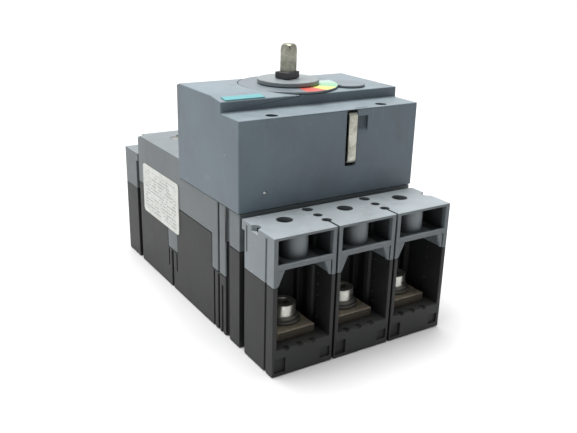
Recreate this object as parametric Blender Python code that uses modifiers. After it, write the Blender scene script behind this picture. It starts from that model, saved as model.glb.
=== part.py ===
"""Three-pole moulded-case circuit breaker with a front rotary operator.

Lengths are in metres. X runs across the poles, Y from the line end to the load end and
Z from the mounting plane to the front. Every place below is measured with Y from the line
end; the empty "breaker_frame" then centres the whole breaker on the origin.
"""
import math

import bmesh
import bpy
from mathutils import Matrix, Vector

MM = 0.001

# Driving dimensions of the case.
POLE_PITCH = 35.0 * MM
POLES = (-POLE_PITCH, 0.0, POLE_PITCH)
CASE_HALF = 1.5 * POLE_PITCH - 0.25 * MM
CASE_LENGTH = 185.5 * MM
SPLIT = 52.0 * MM
DECK_TOP = 71.0 * MM
COVER_TOP = 81.5 * MM
WALL = 2.5 * MM
FLOOR = 3.0 * MM
GAP = 0.3 * MM
PARTITION = 2.2 * MM

# Terminals: depth of the compartments along Y and place of the screws from each end.
LINE_DEPTH = 27.0 * MM
LINE_BOLT = 19.5 * MM
LOAD_DEPTH = 18.5 * MM
LOAD_BOLT = 10.5 * MM
BARRIER_SLOT = 5.0 * MM
TERMINAL_SPLIT = 46.0 * MM
TERMINAL_TOP = 70.0 * MM
TERMINAL_WALL = 2.0 * MM
TERMINAL_GAP = 1.2 * MM
SILL = 13.7 * MM
SHELF = 54.0 * MM
SHELF_THICK = 1.4 * MM
SHELF_LIP = 1.1 * MM
LINTEL = 1.4 * MM
TUBE_RADIUS = 6.8 * MM
ACCESS_RADIUS = 4.0 * MM
MOUNT_RADIUS = 2.3 * MM
MOUNT_BOSS = 4.4 * MM
LINE_MOUNT = 17.5 * MM
LOAD_MOUNT = 9.5 * MM

# Conductors and terminal screws.
BAR_HALF = 10.5 * MM
BAR_THICK = 4.5 * MM
BAR_BOTTOM = SILL + GAP
BAR_TOP = BAR_BOTTOM + BAR_THICK
BOLT_HEAD = 6.5 * MM
BOLT_HEAD_HEIGHT = 7.6 * MM
BOLT_SHANK = 3.9 * MM
WASHER_RADIUS = 8.8 * MM
WASHER_THICK = 1.8 * MM
WASHER_SEAT = 0.5 * MM
LOCK_WASHER = 1.7 * MM
LOCK_RADIUS = 7.5 * MM

# Rotary operator on the line half of the cover.
OPERATOR_START = 31.7 * MM
OPERATOR_LENGTH = 68.1 * MM
OPERATOR_HALF = CASE_HALF + 0.7 * MM
OPERATOR_BOTTOM = DECK_TOP + GAP
LEDGE_TOP = 115.9 * MM
LEDGE_LENGTH = 17.8 * MM
OPERATOR_TOP = 121.4 * MM
SHELL = 2.5 * MM
BODY_START = OPERATOR_START + 0.3 * MM
OPERATOR_END = OPERATOR_START + OPERATOR_LENGTH
COVER_END = CASE_LENGTH - LOAD_DEPTH - BARRIER_SLOT + 0.7 * MM

# Drive train: Scotch yoke between the shaft and the toggle lever.
DRIVE_Y = 75.0 * MM
SHAFT_SIDE = 6.4 * MM
SHAFT_TIP = 143.3 * MM
SHAFT_TURN = math.radians(23.0)
CRANK = 15.0 * MM
CRANK_PIN = 2.5 * MM
YOKE_PLAY = 0.75 * MM
CARRIAGE_Z = 91.0 * MM
CARRIAGE_THICK = 3.0 * MM
CAM_RADIUS = 19.0 * MM
CAM_Z = 98.0 * MM
CAM_THICK = 4.0 * MM
LEVER_PIVOT = 46.0 * MM
LEVER_TOP = CAM_Z - 1.5 * MM

# Contacts.
ROTOR_Y = 88.0 * MM
ROTOR_Z = 26.0 * MM
ROTOR_RADIUS = 5.5 * MM
HUB = 8.0 * MM
ARM_REACH = 42.0 * MM
CONTACT_SWING = math.radians(18.0)

# Padlock bracket in the front wall of the operator.
STRAP_LEFT = 9.0 * MM
STRAP_WIDTH = 5.0 * MM
STRAP_BOTTOM = 88.0 * MM
STRAP_TOP = 114.6 * MM
STRAP_THICK = 1.5 * MM
STRAP_LEG = 25.0 * MM

# Trip unit at the load end.
TRIP_START = 112.0 * MM
TRIP_END = COVER_END - WALL - 2.7 * MM
TRIP_BOTTOM = 24.0 * MM
TRIP_TOP = 66.0 * MM
FRONT_HALF = 32.0 * MM
FRONT_START = TRIP_START + 6.0 * MM
FRONT_END = TRIP_END - 7.0 * MM
FRONT_TOP = COVER_TOP - 1.0 * MM
TRANSFORMER = (120.0 * MM, 138.0 * MM)
TRIP_BAR_Y = 104.0 * MM
TRIP_BAR_Z = 57.0 * MM
BUTTON_X = 23.0 * MM
BUTTON_Y = TRIP_BAR_Y + 6.0 * MM

for leftover in list(bpy.data.objects):
    bpy.data.objects.remove(leftover)

parts = bpy.data.collections.new("circuit_breaker")
cutters = bpy.data.collections.new("cutters")
bpy.context.scene.collection.children.link(parts)
bpy.context.scene.collection.children.link(cutters)

frame = bpy.data.objects.new("breaker_frame", None)
frame.location = (0.0, -CASE_LENGTH / 2, 0.0)
parts.objects.link(frame)


def finish(name, colour, roughness, metallic=0.0):
    """A material of one colour for a kind of surface."""
    material = bpy.data.materials.new(name)
    material.use_nodes = True
    shader = material.node_tree.nodes["Principled BSDF"]
    shader.inputs["Base Color"].default_value = (*colour, 1.0)
    shader.inputs["Roughness"].default_value = roughness
    shader.inputs["Metallic"].default_value = metallic
    return material


BLACK = finish("black_phenolic", (0.045, 0.048, 0.048), 0.55)
GREY = finish("blue_grey_plastic", (0.13, 0.16, 0.19), 0.5)
PALE_GREY = finish("pale_grey_plastic", (0.30, 0.34, 0.38), 0.5)
TEAL = finish("teal_strip", (0.16, 0.48, 0.50), 0.35)
LABEL = finish("label_white", (0.78, 0.78, 0.75), 0.6)
STEEL = finish("zinc_steel", (0.62, 0.60, 0.54), 0.35, 1.0)
DARK_STEEL = finish("dark_steel", (0.25, 0.25, 0.26), 0.45, 1.0)
COPPER = finish("tarnished_copper", (0.42, 0.34, 0.26), 0.5, 1.0)
RED = finish("red_plastic", (0.55, 0.05, 0.04), 0.4)
CREAM = finish("cream_plastic", (0.55, 0.50, 0.38), 0.5)


def place(name, mesh, material, collection=parts):
    item = bpy.data.objects.new(name, mesh)
    collection.objects.link(item)
    item.parent = frame
    if material:
        item.data.materials.append(material)
    if collection is cutters:
        item.hide_render = True
        item.display_type = "WIRE"
    return item


def blocks(name, boxes, material=None, collection=cutters):
    """Boxes given as (x range, y range, z range), in one mesh."""
    shape = bmesh.new()
    for spans in boxes:
        lows = [min(span) for span in spans]
        highs = [max(span) for span in spans]
        size = Vector(highs) - Vector(lows)
        centre = (Vector(highs) + Vector(lows)) / 2
        where = Matrix.Translation(centre) @ Matrix.Diagonal((*size, 1.0))
        bmesh.ops.create_cube(shape, size=1.0, matrix=where)
    mesh = bpy.data.meshes.new(name)
    shape.to_mesh(mesh)
    shape.free()
    return place(name, mesh, material, collection)


def block(name, spans, material):
    return blocks(name, [spans], material, parts)


AXIS_TURN = {
    "X": Matrix.Rotation(math.pi / 2, 4, "Y"),
    "Y": Matrix.Rotation(-math.pi / 2, 4, "X"),
    "Z": Matrix.Identity(4),
}


def rods(name, axis, items, material=None, collection=cutters, segments=16):
    """Cylinders given as (centre point, radius, length) along one axis, in one mesh."""
    shape = bmesh.new()
    for centre, radius, length in items:
        where = Matrix.Translation(Vector(centre)) @ AXIS_TURN[axis]
        bmesh.ops.create_cone(
            shape, cap_ends=True, segments=segments, radius1=radius, radius2=radius,
            depth=length, matrix=where)
    mesh = bpy.data.meshes.new(name)
    shape.to_mesh(mesh)
    shape.free()
    return place(name, mesh, material, collection)


def upright(name, items, material=None, collection=cutters, segments=16):
    """Upright cylinders given as (x, y, low z, high z, radius)."""
    rows = [((x, y, (low + high) / 2), radius, high - low) for x, y, low, high, radius in items]
    return rods(name, "Z", rows, material, collection, segments)


def rod(name, axis, centre, radius, length, material, segments=16):
    return rods(name, axis, [(centre, radius, length)], material, parts, segments)


def extruded(name, outline, depth, stand, material=None, collection=cutters):
    """A flat outline, filled, extruded to the given depth and stood up by a matrix."""
    curve = bpy.data.curves.new(name, "CURVE")
    curve.dimensions = "2D"
    curve.fill_mode = "BOTH"
    curve.extrude = depth / 2
    spline = curve.splines.new("POLY")
    spline.points.add(len(outline) - 1)
    for point, (across, up) in zip(spline.points, outline):
        point.co = (across, up, 0.0, 1.0)
    spline.use_cyclic_u = True
    sketch = bpy.data.objects.new(name + "_sketch", curve)
    cutters.objects.link(sketch)
    bpy.context.view_layer.update()
    evaluated = sketch.evaluated_get(bpy.context.evaluated_depsgraph_get())
    mesh = bpy.data.meshes.new_from_object(evaluated)
    bpy.data.objects.remove(sketch)
    mesh.transform(stand)
    shape = bmesh.new()
    shape.from_mesh(mesh)
    bmesh.ops.remove_doubles(shape, verts=shape.verts, dist=0.00001)
    bmesh.ops.recalc_face_normals(shape, faces=shape.faces)
    shape.to_mesh(mesh)
    shape.free()
    mesh.materials.clear()
    return place(name, mesh, material, collection)


def plate(name, outline, across, material=None, collection=cutters):
    """An outline in the Y-Z plane, extruded over the X range across."""
    stand = Matrix(((0, 0, 1, sum(across) / 2), (1, 0, 0, 0), (0, 1, 0, 0), (0, 0, 0, 1)))
    return extruded(name, outline, across[1] - across[0], stand, material, collection)


def front_plate(name, outline, y, depth):
    """An outline in the X-Z plane, extruded to the given depth around the place y."""
    stand = Matrix(((1, 0, 0, 0), (0, 0, 1, y), (0, 1, 0, 0), (0, 0, 0, 1)))
    return extruded(name, outline, depth, stand)


def turned(name, profile, centre, steps=20):
    """A profile of (radius, height) points, given from top to bottom, turned about Z."""
    mesh = bpy.data.meshes.new(name)
    points = [(radius, 0.0, height) for radius, height in profile]
    mesh.from_pydata(points, [(step, step + 1) for step in range(len(points) - 1)], [])
    item = place(name, mesh, None, cutters)
    item.location = centre
    screw_turn = item.modifiers.new("turn", "SCREW")
    screw_turn.steps = steps
    screw_turn.render_steps = steps
    screw_turn.use_merge_vertices = True
    screw_turn.merge_threshold = 0.00001
    return item


def boolean(target, tool, operation):
    modifier = target.modifiers.new(tool.name, "BOOLEAN")
    modifier.operation = operation
    modifier.object = tool
    modifier.solver = "EXACT"


def cut(target, *tools):
    for tool in tools:
        boolean(target, tool, "DIFFERENCE")


def join(target, *tools):
    for tool in tools:
        boolean(target, tool, "UNION")


def hang_on(item, pivot, turn=None):
    """Move the item's origin to its joint's axis, then turn it there with its tools."""
    item.data.transform(Matrix.Translation(-Vector(pivot)))
    item.location = pivot
    if turn:
        item.rotation_euler = turn
        for modifier in item.modifiers:
            hang_on(modifier.object, pivot, turn)


def smooth(item):
    item.data.shade_smooth()
    item.data.set_sharp_from_angle(angle=math.radians(35))


def mirrored(spans):
    """The same box on the left and on the right side."""
    (low, high), y, z = spans
    return [((low, high), y, z), ((-high, -low), y, z)]


class End:
    """One end of the case: distances are measured inwards from that end."""

    def __init__(self, name, depth, bolt, mount, top, slot, tube_start):
        self.name = name
        self.depth = depth
        self.bolt = bolt
        self.mount = mount
        self.top = top
        self.slot = slot
        self.tube_start = tube_start

    def y(self, distance):
        return distance if self.name == "line" else CASE_LENGTH - distance

    def span(self, low, high):
        return (self.y(low), self.y(high))


LINE = End("line", LINE_DEPTH, LINE_BOLT, LINE_MOUNT, TERMINAL_TOP, 10.0 * MM, 11.0 * MM)
LOAD = End("load", LOAD_DEPTH, LOAD_BOLT, LOAD_MOUNT, TERMINAL_TOP - 1.0 * MM, 4.0 * MM, 9.0 * MM)
DIVIDERS = (-POLE_PITCH / 2, POLE_PITCH / 2)
CELL_HALF = POLE_PITCH / 2 - TERMINAL_GAP / 2
BARRIER_DEPTH = 3.0 * MM
OUT = 5.0 * MM


def cell(pole):
    """The inside of a pole's terminal compartment across X."""
    low = max(pole - CELL_HALF, -CASE_HALF) + TERMINAL_WALL
    high = min(pole + CELL_HALF, CASE_HALF) - TERMINAL_WALL
    return low, high


def end_pockets(end):
    """Compartments of one end: open at the end face and at the top."""
    back = end.depth + 1.7 * MM
    wide = [(cell(pole), end.span(-OUT, end.depth - 2 * MM), (SILL, SPLIT + OUT)) for pole in POLES]
    narrow = [((pole - 12 * MM, pole + 12 * MM), end.span(end.depth - 3 * MM, back), (SILL, SPLIT + OUT))
              for pole in POLES]
    passages = [((pole - BAR_HALF - GAP, pole + BAR_HALF + GAP),
                 end.span(back - 1 * MM, end.depth + BARRIER_SLOT + 4.5 * MM),
                 (SILL, BAR_TOP + GAP)) for pole in POLES]
    return wide, narrow, passages


def end_bosses(end, name, low, high):
    """Round bosses in the walls between the poles, for the mounting screws."""
    return upright(name, [(x, end.y(end.mount), low, high, MOUNT_BOSS) for x in DIVIDERS], segments=12)


def mount_holes(end, name):
    columns = [(x, end.y(end.mount), -OUT, end.top + OUT, MOUNT_RADIUS) for x in DIVIDERS]
    return upright(name, columns, segments=12)


# Base: one black moulding with the six terminal compartments and the contact chambers.
base = block("base", ((-CASE_HALF, CASE_HALF), (0, CASE_LENGTH), (0, SPLIT - GAP)), BLACK)
for end in (LINE, LOAD):
    step = end.depth + 3 * MM
    wide, narrow, passages = end_pockets(end)
    cut(base, blocks(end.name + "_step", [
        ((-CASE_HALF - OUT, CASE_HALF + OUT), end.span(-OUT, step), (TERMINAL_SPLIT, SPLIT + OUT))]))
    cut(base, blocks(end.name + "_pockets", wide), blocks(end.name + "_pocket_backs", narrow),
        blocks(end.name + "_passages", passages))
    join(base, end_bosses(end, end.name + "_bosses", SILL - 1 * MM, TERMINAL_SPLIT - GAP))
    cut(base, mount_holes(end, end.name + "_mount_holes"))
    cut(base, blocks(end.name + "_pole_gaps", [
        ((x - TERMINAL_GAP / 2, x + TERMINAL_GAP / 2), end.span(-OUT, end.slot), (-OUT, SPLIT + OUT))
        for x in DIVIDERS]))
    cut(base, blocks(end.name + "_barrier_slots", mirrored(
        ((CASE_HALF - BARRIER_DEPTH, CASE_HALF + OUT), end.span(end.depth, end.depth + BARRIER_SLOT),
         (-OUT, SPLIT + OUT)))))
    cut(base, upright(end.name + "_thread_pockets", [
        (pole, end.y(end.bolt), FLOOR, SILL + 1 * MM, BOLT_SHANK + 0.4 * MM) for pole in POLES], segments=12))
    recesses = []
    for pole in POLES:
        low, high = cell(pole)
        recesses.append(((low - 1 * MM, low + 5 * MM), end.span(-OUT, 1.5 * MM), (1.2 * MM, 9 * MM)))
        recesses.append(((high - 5 * MM, high + 0.6 * MM), end.span(-OUT, 1.2 * MM), (2.5 * MM, 8 * MM)))
    cut(base, blocks(end.name + "_sill_recesses", recesses))
cut(base, rods("sill_notches", "Y", [
    ((pole + shift, 0.0, SILL), 1.4 * MM, 6 * MM)
    for pole in POLES for shift in (-9 * MM, -1.5 * MM, 6 * MM)], segments=10))

CHAMBER_START = LINE_DEPTH + BARRIER_SLOT + 3.5 * MM
CHAMBER_END = COVER_END - WALL
PEDESTAL_END = 54.0 * MM
LOAD_PEDESTAL = CHAMBER_END - 10.0 * MM
INNER_HALF = CASE_HALF - WALL
cut(base, blocks("contact_chamber", [
    ((-INNER_HALF, INNER_HALF), (CHAMBER_START, CHAMBER_END), (SILL, SPLIT + OUT))]))
cut(base, blocks("chamber_floor", [
    ((-INNER_HALF, INNER_HALF), (PEDESTAL_END, LOAD_PEDESTAL), (FLOOR, SILL + 1 * MM))]))
for side, x in zip(("left", "right"), DIVIDERS):
    partition = blocks("partition_" + side, [
        ((x - PARTITION / 2, x + PARTITION / 2),
         (CHAMBER_START - 1 * MM, TRIP_START - 3 * MM), (FLOOR - 1 * MM, SPLIT - GAP))])
    join(base, partition)
    join(base, upright("screw_boss_" + side, [(x, 40 * MM, SILL - 1 * MM, SPLIT - GAP, 3.5 * MM)]))
NOTCH = ROTOR_RADIUS + GAP
cut(base, blocks("rotor_notches", [
    ((x - 2 * PARTITION, x + 2 * PARTITION), (ROTOR_Y - NOTCH, ROTOR_Y + NOTCH), (ROTOR_Z, SPLIT + OUT))
    for x in DIVIDERS]))
cut(base, rods("rotor_seats", "X", [
    ((x, ROTOR_Y, ROTOR_Z), NOTCH, 4 * PARTITION) for x in DIVIDERS], segments=20))
COVER_SCREW_FRONT = [(x, 40.0 * MM) for x in DIVIDERS]
cut(base, upright("cover_screw_holes", [
    (x, y, 32 * MM, SPLIT + OUT, 1.6 * MM) for x, y in COVER_SCREW_FRONT], segments=10))

# Snap tabs of the cover lie in recesses of the base's sides, between upright grooves.
TAB_DEPTH = 1.3 * MM
TONGUE = (46.6 * MM, 61.7 * MM)
TONGUE_BOTTOM = 33.0 * MM
TAB = (106.5 * MM, 119.4 * MM)
TAB_BOTTOM = 24.0 * MM
SLOT_DEPTH = 1.5 * MM
NARROW_SLOT = (53.2 * MM, 55.0 * MM)
WIDE_SLOT = (42.4 * MM, 46.4 * MM)
RECESS_IN = CASE_HALF - TAB_DEPTH - GAP
cut(base, blocks("tab_recesses", [
    spans for y, low in ((TONGUE, TONGUE_BOTTOM), (TAB, TAB_BOTTOM)) for spans in mirrored(
        ((RECESS_IN, CASE_HALF + OUT), (y[0] - GAP, y[1] + GAP), (low - GAP, SPLIT + OUT)))]))
GROOVES = [
    (NARROW_SLOT, -OUT, TONGUE_BOTTOM - 1 * MM), (WIDE_SLOT, -OUT, SPLIT + OUT),
    ((58.6 * MM, 60.0 * MM), -OUT, TONGUE_BOTTOM - 1 * MM),
    ((49.4 * MM, 50.8 * MM), -OUT, 27 * MM),
    ((112.6 * MM, 115.0 * MM), -OUT, TAB_BOTTOM - 1 * MM),
    ((107.0 * MM, 108.2 * MM), 12 * MM, TAB_BOTTOM - 1 * MM),
    ((118.0 * MM, 119.2 * MM), 12 * MM, TAB_BOTTOM - 1 * MM),
    ((6.0 * MM, 7.6 * MM), -OUT, TERMINAL_SPLIT + OUT),
]
for number, (y, low, high) in enumerate(GROOVES):
    depth = 0.8 * MM if y[0] < LINE_DEPTH else SLOT_DEPTH
    groove = ((CASE_HALF - depth, CASE_HALF + OUT), y, (low, high))
    cut(base, blocks("side_groove_%d" % number, mirrored(groove)))

# Cover: one grey moulding, low under the operator and high over the trip unit.
HIGH_START = OPERATOR_END + GAP
cover = block("cover", ((-CASE_HALF, CASE_HALF), (BODY_START, COVER_END), (SPLIT, DECK_TOP)), GREY)
join(cover, blocks("cover_high", [
    ((-CASE_HALF, CASE_HALF), (HIGH_START, COVER_END), (SPLIT + 1 * MM, COVER_TOP))]))
cut(cover, blocks("cover_inside", [
    ((-INNER_HALF, INNER_HALF), (BODY_START + WALL, CHAMBER_END), (SPLIT - OUT, DECK_TOP - WALL))]))
cut(cover, blocks("cover_high_inside", [
    ((-INNER_HALF, INNER_HALF), (HIGH_START + WALL, CHAMBER_END), (SPLIT + OUT, COVER_TOP - WALL))]))
join(cover, blocks("cover_tabs", [
    spans for y, low in ((TONGUE, TONGUE_BOTTOM), (TAB, TAB_BOTTOM)) for spans in mirrored(
        ((CASE_HALF - TAB_DEPTH, CASE_HALF), y, (low, SPLIT + 3 * MM)))]))
OPERATOR_SCREWS = [(-32.6 * MM, 36.8 * MM), (32.6 * MM, 36.8 * MM)]
COVER_SCREW_REAR = [(-34.7 * MM, COVER_END - 17.0 * MM), (34.7 * MM, COVER_END - 17.0 * MM)]
join(cover, upright("operator_screw_bosses", [
    (x, y + 0.7 * MM, SPLIT + 8 * MM, DECK_TOP - 1 * MM, 4.3 * MM) for x, y in OPERATOR_SCREWS]))
join(cover, upright("cover_screw_bosses", [
    (x, y, SPLIT, DECK_TOP - 1 * MM, 4.3 * MM) for x, y in COVER_SCREW_FRONT]))
join(cover, upright("rear_screw_bosses", [
    (x, y, TRIP_TOP + GAP, COVER_TOP - 1 * MM, 2.4 * MM) for x, y in COVER_SCREW_REAR], segments=16))
cut(cover, upright("operator_screw_holes", [
    (x, y, SPLIT, DECK_TOP + OUT, 1.8 * MM) for x, y in OPERATOR_SCREWS], segments=10))
cut(cover, upright("cover_screw_bores", [
    (x, y, SPLIT - OUT, DECK_TOP + OUT, 1.6 * MM) for x, y in COVER_SCREW_FRONT], segments=10))
cut(cover, upright("cover_screw_sinks", [
    (x, y, DECK_TOP - 3.5 * MM, DECK_TOP + OUT, 3.0 * MM) for x, y in COVER_SCREW_FRONT]))
cut(cover, upright("rear_screw_bores", [
    (x, y, TRIP_TOP - OUT, COVER_TOP + OUT, 1.6 * MM) for x, y in COVER_SCREW_REAR], segments=10))
cut(cover, upright("rear_screw_sinks", [
    (x, y, COVER_TOP - 1.6 * MM, COVER_TOP + OUT, 2.8 * MM) for x, y in COVER_SCREW_REAR]))
LEVER_HALF = 5.0 * MM
LEVER_DEPTH = 3.0 * MM
SWING = (CRANK * math.sin(math.pi / 4)) / (CARRIAGE_Z + CARRIAGE_THICK / 2 - LEVER_PIVOT)
LEVER_WINDOW = LEVER_DEPTH + 1.5 * MM + (OPERATOR_BOTTOM + 2 * MM - LEVER_PIVOT) * math.tan(SWING)
LEVER_SLOT = (
    (-LEVER_HALF - 1.5 * MM, LEVER_HALF + 1.5 * MM), (DRIVE_Y - LEVER_WINDOW, DRIVE_Y + LEVER_WINDOW))
cut(cover, blocks("toggle_slot", [(*LEVER_SLOT, (DECK_TOP - OUT, DECK_TOP + OUT))]))
cut(cover, blocks("trip_window", [
    ((-FRONT_HALF - GAP, FRONT_HALF + GAP), (FRONT_START - GAP, FRONT_END + GAP),
     (COVER_TOP - OUT, COVER_TOP + OUT))]))
BUTTON_RADIUS = 3.0 * MM
cut(cover, upright("button_hole", [
    (BUTTON_X, BUTTON_Y, COVER_TOP - OUT, COVER_TOP + OUT, BUTTON_RADIUS + GAP)]))
for number, y in enumerate((NARROW_SLOT, WIDE_SLOT)):
    cut(cover, blocks("cover_groove_%d" % number, mirrored(
        ((CASE_HALF - SLOT_DEPTH, CASE_HALF + OUT), y, (TONGUE_BOTTOM - OUT, DECK_TOP + OUT)))))
cut(cover, blocks("cover_rear_corner", mirrored(
    ((CASE_HALF - 3.0 * MM, CASE_HALF + OUT), (COVER_END - 3.4 * MM, COVER_END + OUT),
     (COVER_TOP - 1.2 * MM, COVER_TOP + OUT)))))


def terminal_cover(end):
    """Grey cap over the three compartments of one end, with its screw-guide tubes."""
    name = end.name + "_terminal_cover"
    back = end.depth + 3 * MM - GAP
    low = TERMINAL_SPLIT
    item = block(name, ((-CASE_HALF, CASE_HALF), end.span(0, back), (low, end.top)), PALE_GREY)
    windows = []
    mouths = []
    for pole in POLES:
        inside = cell(pole)
        reach = end.span(-OUT, end.depth - 2 * MM)
        windows.append((inside, reach, (SHELF + SHELF_THICK, end.top - LINTEL)))
        mouths.append((inside, reach, (low - OUT, SHELF)))
    cut(item, blocks(name + "_windows", windows), blocks(name + "_mouths", mouths))
    join(item, end_bosses(end, name + "_bosses", low, end.top - 1 * MM))
    join(item, blocks(name + "_lips", [
        ((left - 0.5 * MM, right + 0.5 * MM), end.span(0, 1.8 * MM),
         (SHELF + 0.5 * MM, SHELF + SHELF_THICK + SHELF_LIP)) for left, right in map(cell, POLES)]))
    tube = (SHELF + 0.5 * MM, end.top - 0.5 * MM)
    for pole in POLES:
        for step, inset in enumerate((end.tube_start, end.bolt)):
            join(item, upright("%s_tube_%d" % (name, step), [(pole, end.y(inset), *tube, TUBE_RADIUS)],
                               segments=20))
        join(item, blocks(name + "_tube_sides", [
            ((pole - TUBE_RADIUS, pole + TUBE_RADIUS), end.span(end.tube_start, end.bolt), tube)]))
    cut(item, upright(name + "_access", [
        (pole, end.y(end.bolt), low, end.top + OUT, ACCESS_RADIUS) for pole in POLES], segments=20))
    cut(item, mount_holes(end, name + "_mount_holes"))
    cut(item, blocks(name + "_pole_gaps", [
        ((x - TERMINAL_GAP / 2, x + TERMINAL_GAP / 2), end.span(-OUT, end.slot), (low - OUT, end.top + OUT))
        for x in DIVIDERS]))
    cut(item, blocks(name + "_barrier_slots", mirrored(
        ((CASE_HALF - BARRIER_DEPTH, CASE_HALF + OUT), end.span(end.depth, back + OUT),
         (low - OUT, end.top - 5 * MM)))))
    for number, pole in enumerate(POLES, 1):
        left, right = cell(pole)
        for side, x, reach in (("left", left, 4.5 * MM), ("right", right - 0.5 * MM, -4.0 * MM)):
            edge = x - 0.3 * MM if side == "left" else x
            corners = [(edge, SHELF + 0.5 * MM), (edge, low + 0.4 * MM),
                       (edge + reach * 0.2, low + 0.4 * MM), (edge + reach, SHELF + 0.5 * MM)]
            tooth = "%s_tooth_%s_%d" % (name, side, number)
            join(item, front_plate(tooth, corners, end.y(1.2 * MM), 1.8 * MM))
    return item


line_cover = terminal_cover(LINE)
load_cover = terminal_cover(LOAD)
cut(line_cover, blocks("cover_front_grooves", mirrored(
    ((CASE_HALF - 0.8 * MM, CASE_HALF + OUT), (6.0 * MM, 7.6 * MM),
     (TERMINAL_SPLIT - OUT, TERMINAL_TOP - 2 * MM)))))
cut(line_cover, upright("plate_notches", [
    (x, LINE.slot, SHELF + OUT, TERMINAL_TOP + OUT, 2.4 * MM) for x in DIVIDERS]))
cut(line_cover, upright("plate_keyholes", [
    (x, LINE_DEPTH - 0.5 * MM, TERMINAL_TOP - 3 * MM, TERMINAL_TOP + OUT, 2.8 * MM) for x in DIVIDERS]))
cut(line_cover, upright("plate_side_notches", [
    (x, LINE_MOUNT, TERMINAL_TOP - 3 * MM, TERMINAL_TOP + OUT, 3.0 * MM) for x in (-CASE_HALF, CASE_HALF)]))


def hex_socket(name, x, y, low, high, across):
    return upright(name, [(x, y, low, high, across / math.sqrt(3))], segments=6)


def conductor(name, pole, y, bolt_y, contact):
    item = block(name, ((pole - BAR_HALF, pole + BAR_HALF), y, (BAR_BOTTOM, BAR_TOP)), COPPER)
    if contact:
        join(item, blocks(name + "_contact", [
            ((pole - 4.5 * MM, pole + 4.5 * MM), (ROTOR_Y - ARM_REACH - 1 * MM, y[1] - 1 * MM),
             (BAR_TOP - 1 * MM, BAR_TOP + 1.8 * MM))]))
    cut(item, upright(name + "_hole", [
        (pole, bolt_y, BAR_BOTTOM - OUT, BAR_TOP + OUT, BOLT_SHANK + GAP)]))
    cut(item, upright(name + "_washer_seat", [
        (pole, bolt_y, BAR_TOP - WASHER_SEAT, BAR_TOP + OUT, WASHER_RADIUS + 2 * GAP)], segments=20))
    return item


def terminal_screw(name, pole, y):
    """Socket-head screw with its captive flat and lock washers, in the bar's spot-faced seat."""
    washer = BAR_TOP - WASHER_SEAT + GAP
    head = washer + WASHER_THICK
    item = upright(name, [(pole, y, washer, head, WASHER_RADIUS)], STEEL, parts, 20)
    join(item, upright(name + "_lock_washer", [(pole, y, head - 0.5 * MM, head + LOCK_WASHER, LOCK_RADIUS)],
                       segments=20))
    join(item, upright(name + "_head", [
        (pole, y, head + LOCK_WASHER - 0.5 * MM, head + BOLT_HEAD_HEIGHT, BOLT_HEAD)], segments=20))
    join(item, upright(name + "_shank", [(pole, y, 5 * MM, washer + 0.5 * MM, BOLT_SHANK)], segments=16))
    cut(item, hex_socket(name + "_socket", pole, y, head + BOLT_HEAD_HEIGHT - 4.5 * MM,
                         head + BOLT_HEAD_HEIGHT + OUT, 6 * MM))
    smooth(item)


def contact_arm(name, pole):
    """Moving contact, made closed and then swung open to the tripped position."""
    item = rod(name, "X", (pole, ROTOR_Y, ROTOR_Z), HUB, 8 * MM, COPPER)
    tip = ROTOR_Y - ARM_REACH
    join(item, blocks(name + "_blade", [
        ((pole - 3.5 * MM, pole + 3.5 * MM), (tip, ROTOR_Y - 4 * MM), (ROTOR_Z - 3 * MM, ROTOR_Z + 3 * MM))]))
    join(item, blocks(name + "_pad", [
        ((pole - 3 * MM, pole + 3 * MM), (tip + 0.5 * MM, tip + 6 * MM),
         (BAR_TOP + 1.8 * MM + GAP, ROTOR_Z - 2.5 * MM))]))
    cut(item, rods(name + "_bore", "X", [((pole, ROTOR_Y, ROTOR_Z), ROTOR_RADIUS + GAP, 20 * MM)]))
    return item


def arc_chute(name, pole):
    """Steel splitter plates held between two side plates."""
    low = BAR_TOP + GAP
    high = SPLIT + 6 * MM
    y = (CHAMBER_START + 0.5 * MM, ROTOR_Y - ARM_REACH - 1.5 * MM)
    item = block(name, ((pole - 10.5 * MM, pole - 9.5 * MM), y, (low, high)), DARK_STEEL)
    join(item, blocks(name + "_side", [((pole + 9.5 * MM, pole + 10.5 * MM), y, (low, high))]))
    count = 8
    pitch = (high - low - 6 * MM) / (count - 1)
    join(item, blocks(name + "_plates", [
        ((pole - 10 * MM, pole + 10 * MM), (y[0] + 0.4 * MM, y[1] - 0.4 * MM),
         (low + 3 * MM + pitch * step, low + 4 * MM + pitch * step)) for step in range(count)]))


def flexible_lead(name, pole):
    """Copper braid from the load bar to the hub of the contact arm."""
    top = BAR_TOP + GAP
    reach = ROTOR_Y + HUB + 0.5 * MM
    outline = [(112 * MM, top), (101.5 * MM, top), (reach, ROTOR_Z - 3 * MM), (reach, ROTOR_Z + 2 * MM),
               (reach + 1.8 * MM, ROTOR_Z + 2 * MM), (reach + 1.8 * MM, ROTOR_Z - 2 * MM),
               (102.4 * MM, top + 2 * MM), (112 * MM, top + 2 * MM)]
    plate(name, outline, (pole - 5 * MM, pole + 5 * MM), COPPER, parts)


def transformer(name, pole):
    """Current transformer around the load bar of one pole."""
    span = (pole - 13 * MM, pole + 13 * MM)
    item = block(name, (span, TRANSFORMER, (FLOOR + GAP, TRIP_BOTTOM - GAP)), CREAM)
    cut(item, blocks(name + "_window", [
        ((pole - BAR_HALF - GAP, pole + BAR_HALF + GAP), (TRANSFORMER[0] - OUT, TRANSFORMER[1] + OUT),
         (BAR_BOTTOM - GAP, BAR_TOP + GAP))]))


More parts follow.
